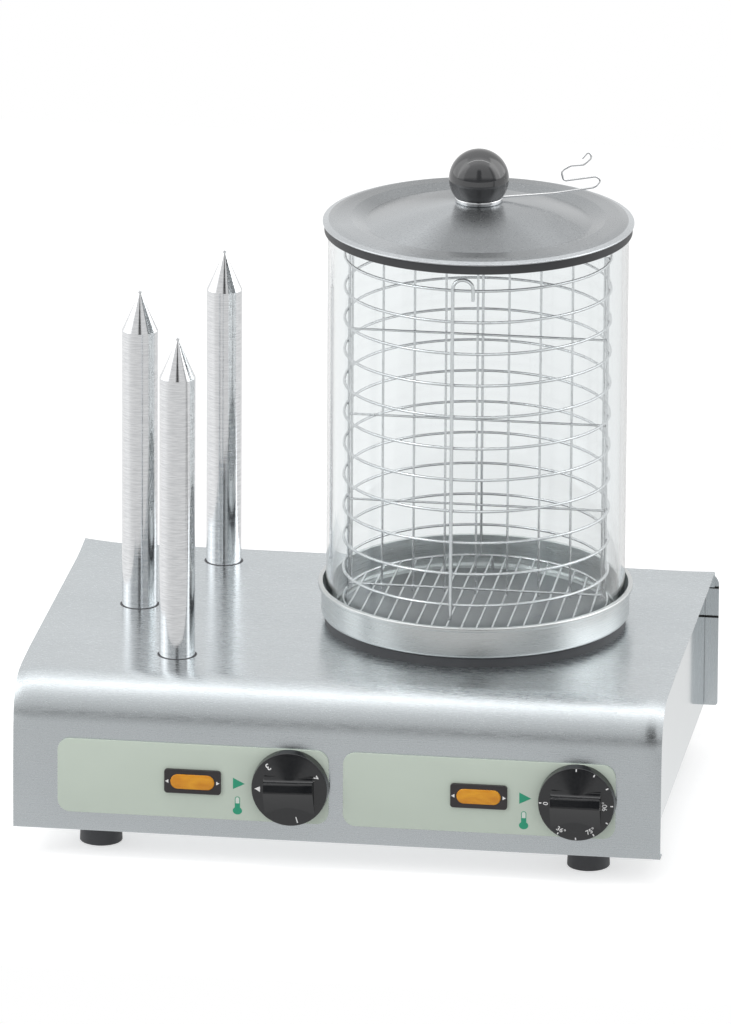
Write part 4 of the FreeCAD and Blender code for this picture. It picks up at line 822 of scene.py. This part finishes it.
def makeIndicator(side, plateFace, spec):
    low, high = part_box(f"{side}_lamp_bezel")
    centre = centreOf(f"{side}_lamp_bezel")
    place = facing((centre.x, plateFace, centre.z))
    wide, tall = high[0] - low[0], high[2] - low[2]
    outer = roundedRectangle(wide, tall - 2 * spec["trim"], spec["corner"])
    bezel = addPiece(f"{side}LampBezel", slabShape(outer, -spec["deep"], spec["face"],
                                                   spec["edge"]),
                     "housing", "bezel", [f"{side}_lamp_bezel"], place=place)
    sizes = spec["windowWide"], spec["windowTall"], spec["windowCorner"]
    window = slabShape(roundedRectangle(*sizes), -spec["cutLow"], spec["cutHigh"])
    bmesh.ops.transform(window, matrix=place, verts=window.verts)
    cutWith(bezel, [window], 38)
    gap = spec["lensGap"]
    lens = roundedRectangle(sizes[0] - 2 * gap, sizes[1] - 2 * gap, sizes[2] - gap)
    proud = spec["lensProud"]
    addPiece(f"{side}LampLens", slabShape(lens, proud - spec["deep"], proud + spec["face"],
                                          spec["lensEdge"]),
             "housing", "amber", [f"{side}_lamp_lens"], place=place)
    # a small white arrow at each end of the bezel
    arrows = bmesh.new()
    half = spec["arrow"] / 2
    for way in (-1, 1):
        tip = way * (wide / 2 - spec["arrowGap"])
        root = tip - way * spec["arrowLong"]
        slabShape([(root, -half), (tip, 0), (root, half)][::way],
                  spec["face"], spec["face"] + spec["print"], shape=arrows)
    addPiece(f"{side}LampArrows", arrows, "housing", "whitePrint",
             place=place)


def makeSigns(side, plateFace, spec, shares):
    knob = centreOf(f"{side}_knob")
    deep, bulb, stem = spec["print"], spec["bulb"], spec["stem"]

    def addSign(name, shape, finish):
        addPiece(side + name, shape, "housing", finish,
                 place=facing((knob.x, plateFace, knob.z)))

    marks = bmesh.new()
    half = spec["triangle"] / 2
    middle = -spec["triangleGap"]
    slabShape([(middle - half, -half), (middle + half, 0), (middle - half, half)], 0, deep,
              shape=marks)
    # bulb and filled stem in one outline
    x, y = -spec["thermoGap"], -spec["thermoDrop"]
    low = y - spec["thermoTall"] / 2 + bulb
    high = y + spec["thermoTall"] / 2
    lift = math.asin(stem / bulb)
    steps = shares["bulbSteps"]
    turns = [math.pi / 2 + lift + (math.tau - 2 * lift) * k / steps for k in range(steps + 1)]
    outline = [(x + bulb * math.cos(a), low + bulb * math.sin(a) * shares["bulbTall"])
               for a in turns]
    fillTop = low + (high - low) * shares["filled"]
    outline += [(x + stem, fillTop), (x - stem, fillTop)]
    slabShape(outline, 0, deep, shape=marks)
    addSign("GreenSigns", marks, "greenPrint")
    # the empty top of the stem: a pale field inside a thin green wall
    for name, finish, wall, roundness, thick in (
            ("StemWall", "greenPrint", 0, shares["stemRound"], deep * shares["wallPrint"]),
            ("StemField", "stemPrint", spec["stemWall"], shares["fieldRound"], deep)):
        left, right, end = x - stem + wall, x + stem - wall, high - wall
        field = roundedPath([(left, fillTop), (right, fillTop), (right, end, stem * roundness),
                             (left, end, stem * roundness)], 8)
        addSign(name, slabShape(field, 0, thick), finish)


for plateSide in ("left", "right"):
    face = makeControlPlate(plateSide)
    makeIndicator(plateSide, face, lampSpec)
    makeSigns(plateSide, face, signSpec, signShares)
print("control plates ready")


# ---- knobs

knobSpec = {
    **lengths(radius=25.7, faceRadius=25.2, rim=8.4, wall=2, hub=6, round=0.7, back=1.7,
              gripLong=33.4, gripHalf=6.0, gripEdge=15.3, gripCrest=16.6, gripRound=1.3,
              crestRound=0.8, endRound=0.5, gripSweep=9.5, gripRoot=2.2, rootGap=0.05,
              sweepGap=0.3, slopeReach=17, slopeFoot=8.6, print=0.06, bolder=0.04,
              tickOuter=24.6, tickInner=22.9, tickHalf=0.40,
              pointerTip=23.1, pointerRoot=19.2, pointerHalf=1.9),
    "slope": 10.5,                         # the face is a flat cone, in degrees
    "sweepSteps": 12, "turnSteps": 160, "sharp": 32,
}
# clock angles of what is printed on each face, and how far the knob stands turned
faceSpec = {
    "left": {"turn": 1.5, "labels": {"1": (165.5, 21.4), "2": (62.5, 19.6), "3": (317.8, 21.0)},
             "ticks": (), "pointer": 269.4, "labelSize": 6.4 * mm},
    "right": {"turn": 0.0, "labels": {"0": (270, 20.3), "36°": (208.4, 20.4),
                                      "75°": (150.7, 20.4), "90°": (90, 19.3)},
              "ticks": (0, 30, 60, 90, 120, 150, 180, 210, 270), "pointer": None,
              "labelSize": 4.6 * mm},
}


def clockPlace(angle, radius):
    turn = math.radians(angle)
    return radius * math.sin(turn), radius * math.cos(turn)


def faceLevel(spec, radius):
    return spec["rim"] + (spec["faceRadius"] - radius) * math.tan(math.radians(spec["slope"]))


def makeKnob(side, spec, faceMarks):
    centre = centreOf(f"{side}_knob")
    place = facing((centre.x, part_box("hood")[0][1], centre.z))
    body = f"{side}_knob"
    inside = spec["rim"] - spec["wall"]
    middle = faceLevel(spec, 0)
    profile = roundedPath([
        (0, spec["back"]), (spec["hub"], spec["back"]), (spec["hub"], inside),
        (spec["faceRadius"] - spec["wall"], inside),
        (spec["radius"] - spec["wall"], spec["back"]), (spec["radius"], spec["back"]),
        (spec["faceRadius"], spec["rim"], spec["round"]), (0, middle)], 5, closed=False)
    shape = turnedShape(profile, spec["turnSteps"], closed=False)
    bar = gripShape(spec, middle - spec["gripRoot"])
    bmesh.ops.rotate(bar, cent=(0, 0, 0), matrix=Matrix.Rotation(
        math.radians(faceMarks["turn"]), 3, "Z"), verts=bar.verts)
    shape.from_mesh(meshFrom(bar, "bar"))
    addPiece(f"{side}KnobMoulding", shape, body, "blackGloss", [f"{side}_knob"],
             sharp=spec["sharp"], place=place)
    makeFaceMarks(side, spec, faceMarks, place, body)


def gripShape(spec, root):
    # the grip: hollow above its crest, where the edge catches the light, and sloping below it
    half, sweep = spec["gripHalf"], spec["gripSweep"] - spec["gripHalf"]
    rise = spec["gripEdge"] - spec["gripRound"] - root
    flank = []
    for step in range(spec["sweepSteps"] + 1):
        turn = math.pi / 2 * step / spec["sweepSteps"]
        flank.append((half + spec["sweepGap"] + sweep * (1 - math.sin(turn)),
                      root + rise * (1 - math.cos(turn))))
    roof = roundedPath([flank[-1], (half, spec["gripEdge"], spec["gripRound"]),
                        (0, spec["gripCrest"], spec["crestRound"]),
                        (-spec["slopeReach"], spec["slopeFoot"])], 6, closed=False)
    x = spec["gripLong"] / 2
    bar = bmesh.new()
    section = flank[:-1] + [tuple(p) for p in roof]
    face = bar.faces.new([bar.verts.new((-x, y, z)) for y, z in section])
    far = freshVerts(bmesh.ops.extrude_face_region(bar, geom=[face]))
    bmesh.ops.translate(bar, vec=(2 * x, 0, 0), verts=far)
    tidyShape(bar)
    ends = [e for e in bar.edges if all(abs(abs(v.co.x) - x) < 1e-6 for v in e.verts)
            and min(v.co.z for v in e.verts) > root + spec["rootGap"]]
    bmesh.ops.bevel(bar, geom=ends, offset=spec["endRound"], affect="EDGES", segments=3,
                    profile=0.5, material=-1)
    return bar


def layOnFace(spec, mesh):
    # bends a flat print onto the sloping face
    for vert in mesh.vertices:
        vert.co.z += faceLevel(spec, math.hypot(vert.co.x, vert.co.y))


def makeFaceMarks(side, spec, marks, place, body):
    deep = spec["print"]
    shape = bmesh.new()
    for angle in marks["ticks"]:
        outerX, outerY = clockPlace(angle, spec["tickOuter"])
        innerX, innerY = clockPlace(angle, spec["tickInner"])
        sideX, sideY = clockPlace(angle + 90, spec["tickHalf"])
        slabShape([(innerX - sideX, innerY - sideY), (innerX + sideX, innerY + sideY),
                   (outerX + sideX, outerY + sideY), (outerX - sideX, outerY - sideY)],
                  0, deep, shape=shape)
    if marks["pointer"] is not None:
        tip = clockPlace(marks["pointer"], spec["pointerTip"])
        rootX, rootY = clockPlace(marks["pointer"], spec["pointerRoot"])
        sideX, sideY = clockPlace(marks["pointer"] + 90, spec["pointerHalf"])
        slabShape([(rootX - sideX, rootY - sideY), tip, (rootX + sideX, rootY + sideY)],
                  0, deep, shape=shape)
    tidyShape(shape)
    mesh = meshFrom(shape, "marks")
    layOnFace(spec, mesh)
    addPiece(f"{side}KnobMarks", mesh, body, "whitePrint", place=place)
    for index, (text, (angle, radius)) in enumerate(marks["labels"].items()):
        font = bpy.data.curves.new("label", "FONT")
        font.body = text
        font.size = marks["labelSize"]
        font.align_x = "CENTER"
        font.align_y = "CENTER"
        font.extrude = deep / 2
        font.offset = spec["bolder"]
        mesh = meshFromCurve(font)
        # the top of each figure points to the knob's middle
        turn = Matrix.Rotation(math.radians(180 - angle), 4, "Z")
        mesh.transform(Matrix.Translation((*clockPlace(angle, radius * mm), deep / 2)) @ turn)
        layOnFace(spec, mesh)
        addPiece(f"{side}KnobFigure{index}", mesh, body, "whitePrint",
                 place=place)


makeKnob("left", knobSpec, faceSpec["left"])
makeKnob("right", knobSpec, faceSpec["right"])
print("knobs ready")


# ---- spikes

spikeShape = lengths(radius=12, coneTall=27.5, neck=0.8, tip=1.25, tipRound=0.3, shoulder=0.25,
                     bore=4.1, stud=8, studLong=13)


def makeSpike(node, spec):
    (foot, top), centre = (c[2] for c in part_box(node)), centreOf(node)
    seat, tip = foot + spec["studLong"], spec["tip"]
    corners = [(spec["bore"], foot), (spec["stud"], foot), (spec["stud"], seat),
               (spec["radius"], seat), (spec["radius"], top - spec["coneTall"], spec["shoulder"]),
               (spec["neck"], top - 2 * tip), (tip, top - 1.5 * tip, spec["tipRound"]),
               (tip, top, tip * 0.8), (0, top)]
    side = node.split("_")[0]
    material = ringScratchFinish(f"turnedAluminium{side.title()}", spikeSpec, centre)
    addTurned(f"{side}SpikeRod", node, "housing", material, corners, 5, 128, standing(centre),
              closed=False, sharp=20)


for spikeNode in spikeNodes:
    makeSpike(spikeNode, spikeShape)
print("spikes ready")


# ---- water pan, glass and lid

wellSpec = lengths(seatInner=93, seatRadius=100.7, seatRound=1.1, panWall=103.2, panSheet=1.0,
                   panRim=105.3, rimTall=3, panCorner=2.5, neckRound=0.3, lipRound=0.8,
                   rimRound=1.1, mouthRound=0.4, floorRound=1.5, glassRadius=100, glassWall=4,
                   glassEdge=1.2)
lidShape = lengths(sheet=0.8, radius=103.5, rimRound=0.6, ridge=84.5, ridgeRise=2.7,
                   ridgeRound=3, rimFold=95.5, rimFoldRise=2.3, rimFoldRound=12, crease=75.5,
                   creaseRise=-0.4, creaseRound=1.5, domeMid=46, domeMidRise=9,
                   domeMidRound=150, domeFlat=18, domeRise=13.4, domeRound=60, bore=2.6,
                   seat=0.4, sealInner=95.5,
                   sealOuter=100.4, sealRound=0.5, collar=15.8, collarTop=14.6, collarFoot=1.3,
                   collarRound=0.9, ball=20)


def makeWell(spec):
    low, high = (c[2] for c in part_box("seat_ring"))
    inner, outer = spec["seatInner"], spec["seatRadius"]
    addTurned("seatGasket", "seat_ring", "housing", "rubber", [
        (inner, low), (outer, low), (outer, high, spec["seatRound"]), (inner, high)], 5, 160)
    base, top = (c[2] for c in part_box("water_pan"))
    lip, sheet = top - spec["rimTall"], spec["panSheet"]
    inside = spec["panWall"] - sheet
    addTurned("spunPan", "water_pan", "pan", "pan", [
        (0, base), (spec["panWall"], base, spec["panCorner"]),
        (spec["panWall"], lip, spec["neckRound"]), (spec["panRim"], lip, spec["lipRound"]),
        (spec["panRim"], top, spec["rimRound"]), (inside, top, spec["mouthRound"]),
        (inside, base + sheet, spec["floorRound"]), (0, base + sheet)], 6, 192)
    low, high = (c[2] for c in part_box("glass_cylinder"))
    outer, edge = spec["glassRadius"], spec["glassEdge"]
    inner = outer - spec["glassWall"]
    addTurned("glassTube", "glass_cylinder", "glass", glassFinish(), [
        (inner, low, edge), (outer, low, edge), (outer, high, edge), (inner, high, edge)], 5, 192)


def glassFinish():
    material, shader, wiring = plainFinish("clearGlass", (0.966, 0.986, 0.990), 0.0,
                                           Transmission_Weight=1.0, IOR=1.46)
    # light passes through to what stands inside, in place of slow caustics
    clear = wiring.gather("ShaderNodeBsdfTransparent", (0.93, 0.97, 0.97, 1))
    mixed = wiring.gather("ShaderNodeMixShader", wiring.rays("Shadow", "Diffuse"),
                          shader.outputs[0], clear)
    wiring.join(mixed, material.node_tree.nodes["Material Output"].inputs[0])
    return material


def makeLid(spec):
    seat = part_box("lid_shell")[0][2] + spec["seat"]
    under = [(spec["bore"], spec["domeRise"]),
             (spec["domeFlat"], spec["domeRise"], spec["domeRound"])]
    under += [(spec[part], spec[part + "Rise"], spec[part + "Round"])
              for part in ("domeMid", "crease", "ridge", "rimFold")]
    under.append((spec["radius"], 0))
    sheet = spec["sheet"]
    over = [(c[0], c[1] + sheet, *c[2:]) for c in reversed(under[:-1])]
    addTurned("lidPressing", "lid_shell", "lid", "lid",
              under + [(spec["radius"], sheet, spec["rimRound"])] + over, 8, 192,
              standing(steamCentre, seat), sharp=50)
    low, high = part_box("lid_seal")
    outer, base, top = (high[0] - low[0]) / 2, low[2], high[2]
    inner, step = spec["sealInner"], spec["sealOuter"]
    addTurned("lidSealBand", "lid_seal", "lid", "seal", [
        (inner, top - sheet), (step, top - sheet), (step, base),
        (outer, base, spec["sealRound"]), (outer, top), (inner, top)], 5, 192)
    base, top = (c[2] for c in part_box("lid_knob_collar"))
    addTurned("lidCollar", "lid_knob_collar", "lid", "bright", [
        (spec["bore"], base), (spec["collar"], base, spec["collarFoot"]),
        (spec["collar"], top, spec["collarRound"]), (spec["collarTop"], top),
        (spec["bore"], top)], 6, 128)
    base, top = (c[2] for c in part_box("lid_knob"))
    ball = spec["ball"]
    middle = top - ball
    lowest = math.asin((base - middle) / ball)
    steps = 48
    turns = [lowest + (math.pi / 2 - lowest) * k / steps for k in range(steps)]
    arc = [(ball * math.cos(t), middle + ball * math.sin(t)) for t in turns]
    addTurned("lidBall", "lid_knob", "lid", "ball", [(0, base), *arc, (0, top)], 0, 128,
              closed=False)


makeWell(wellSpec)
makeLid(lidShape)

lidWireSpec = {
    "radius": 0.75 * mm, "turn": 21.8,
    "spots": ((15.8, 1.9), (52, 2.2), (80, 4.6), (84, 9.4), (80, 12), (58, 10.4), (56.4, 17.4),
              (63, 20.6), (72, 20.6), (77.6, 25.4), (75, 29.6), (70.6, 24.8)),
    "bends": (60, 6, 2.5, 3, 2.5, 3, 4, 5, 2.5, 1.5),
}


def makeLidWire(spec):
    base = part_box("lid_knob_collar")[0][2]
    spots = [(x * mm, 0, z * mm) for x, z in spec["spots"]]
    mesh = wireMesh("lidWire", spots, spec["radius"], [b * mm for b in spec["bends"]])
    turn = Matrix.Rotation(math.radians(spec["turn"]), 4, "Z")
    addPiece("lidWire", mesh, "lid", "bright", ["lid_wire"],
             place=standing(steamCentre, base) @ turn)


makeLidWire(lidWireSpec)
print("well and lid ready")


# ---- basket

basketSpec = {
    **lengths(ring=88.5, wire=0.95, thin=0.8, weld=0.1, cross=0.4, pitch=21.75, lift=10.4,
              gridPitch=10, dividerX=21.15, dividerZ=59.4, dividerRise=4.7, postShift=7.7,
              rod=1.2, rodShift=4.6, rodRise=11.8, hook=6.7, hookTop=248.5, hookTip=7.5),
    "rings": 11, "gridCount": 17, "dividerCountX": 9, "dividerCountZ": 5,
    "hookBend": 0.99,                      # the hook's bends, as a share of its half width
}


def ringShape(radius, level, wire, steps=180, sides=14, shape=None):
    shape = shape or bmesh.new()
    place = Matrix.Translation((radius, 0, level)) @ Matrix.Rotation(math.radians(90), 4, "X")
    loop = bmesh.ops.create_circle(shape, segments=sides, radius=wire, matrix=place)["verts"]
    edges = [e for e in shape.edges if all(v in loop for v in e.verts)]
    bmesh.ops.spin(shape, geom=loop + edges, cent=(0, 0, 0), axis=(0, 0, 1), angle=math.tau,
                   steps=steps, use_merge=True)
    return shape


def makeBasket(spec):
    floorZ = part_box("glass_cylinder")[0][2] + spec["lift"]
    at = standing(steamCentre, floorZ)
    post = spec["ring"] - 2 * spec["wire"] + spec["weld"]
    cage = bmesh.new()
    for index in range(spec["rings"]):
        ringShape(spec["ring"], spec["pitch"] * (index + 1), spec["wire"], shape=cage)
    top = spec["pitch"] * spec["rings"] + spec["wire"]
    rear = math.sqrt(post ** 2 - spec["postShift"] ** 2)
    for x, y in ((-post, 0), (post, 0), (-spec["postShift"], rear)):
        rodShape((x, y, spec["wire"]), (x, y, top), spec["wire"], shape=cage)
    addPiece("basketRings", cage, "basket", "wire", ["basket_cage"], place=at)
    floor = ringShape(spec["ring"], 0, spec["wire"])
    for index in range(spec["gridCount"]):
        x = spec["gridPitch"] * (index - (spec["gridCount"] - 1) / 2)
        y = math.sqrt(spec["ring"] ** 2 - x ** 2)
        rodShape((x, -y, 0), (x, y, 0), spec["thin"], shape=floor)
    addPiece("basketFloorGrid", floor, "basket", "wire", ["basket_floor"], place=at)
    divider = bmesh.new()
    apart = spec["thin"] - spec["cross"] / 2
    reach = post - spec["wire"]
    for index in range(spec["dividerCountZ"]):
        z = spec["dividerRise"] + spec["dividerZ"] * index
        rodShape((-reach, -apart, z), (reach, -apart, z), spec["thin"], shape=divider)
    high = spec["dividerRise"] + spec["dividerZ"] * (spec["dividerCountZ"] - 1) + spec["thin"]
    for index in range(spec["dividerCountX"]):
        x = spec["dividerX"] * (index - (spec["dividerCountX"] - 1) / 2)
        rodShape((x, apart, spec["wire"]), (x, apart, high), spec["thin"], shape=divider)
    addPiece("basketDivider", divider, "basket", "wire", ["basket_divider"], place=at)
    x = -spec["rodShift"]
    y = -spec["ring"] - spec["wire"] - spec["rod"]
    crown = spec["hookTop"] - spec["rod"]
    far = x + 2 * spec["hook"]
    mesh = wireMesh("lifter", [(x, y, spec["rodRise"]), (x, y, crown), (far, y, crown),
                               (far, y, crown - spec["hook"] - spec["hookTip"])],
                    spec["rod"], spec["hook"] * spec["hookBend"])
    addPiece("basketLifter", mesh, "basket", "wire", ["basket_lifting_rod"], place=at)


makeBasket(basketSpec)
print("basket ready")


# ---- nodes that keep their own shape

nodeFinishes = {
    "mirrorSteel": ("left_side_wall", "right_side_wall"),
    "endSteel": ("rear_panel",),
    "steel": ("base_tray",),
    "zinc": ("foot_screws", "foot_nuts", "rear_panel_screws", "left_knob_shaft",
             "right_knob_shaft", "control_screws", "heater_bridge", "heater_studs",
             "heater_nuts", "lid_knob_screw", "spike_nuts", "spike_bracket"),
    "phenolic": ("left_lamp_body", "right_lamp_body", "power_regulator", "thermostat"),
    "castIron": ("hot_plate",),
    "element": ("heating_element", "spike_heaters"),
    "copper": ("thermostat_capillary",),
    "rubber": ("spike_collars", "cable_gland", "gland_nut"),
    "nylon": ("terminal_block",),
    "wire": ("basket_feet",),
}
for finish, names in nodeFinishes.items():
    for node in names:
        mesh = cadNodes[node].data
        mesh.materials.clear()
        mesh.materials.append(finishes[finish])

print("all pieces ready")
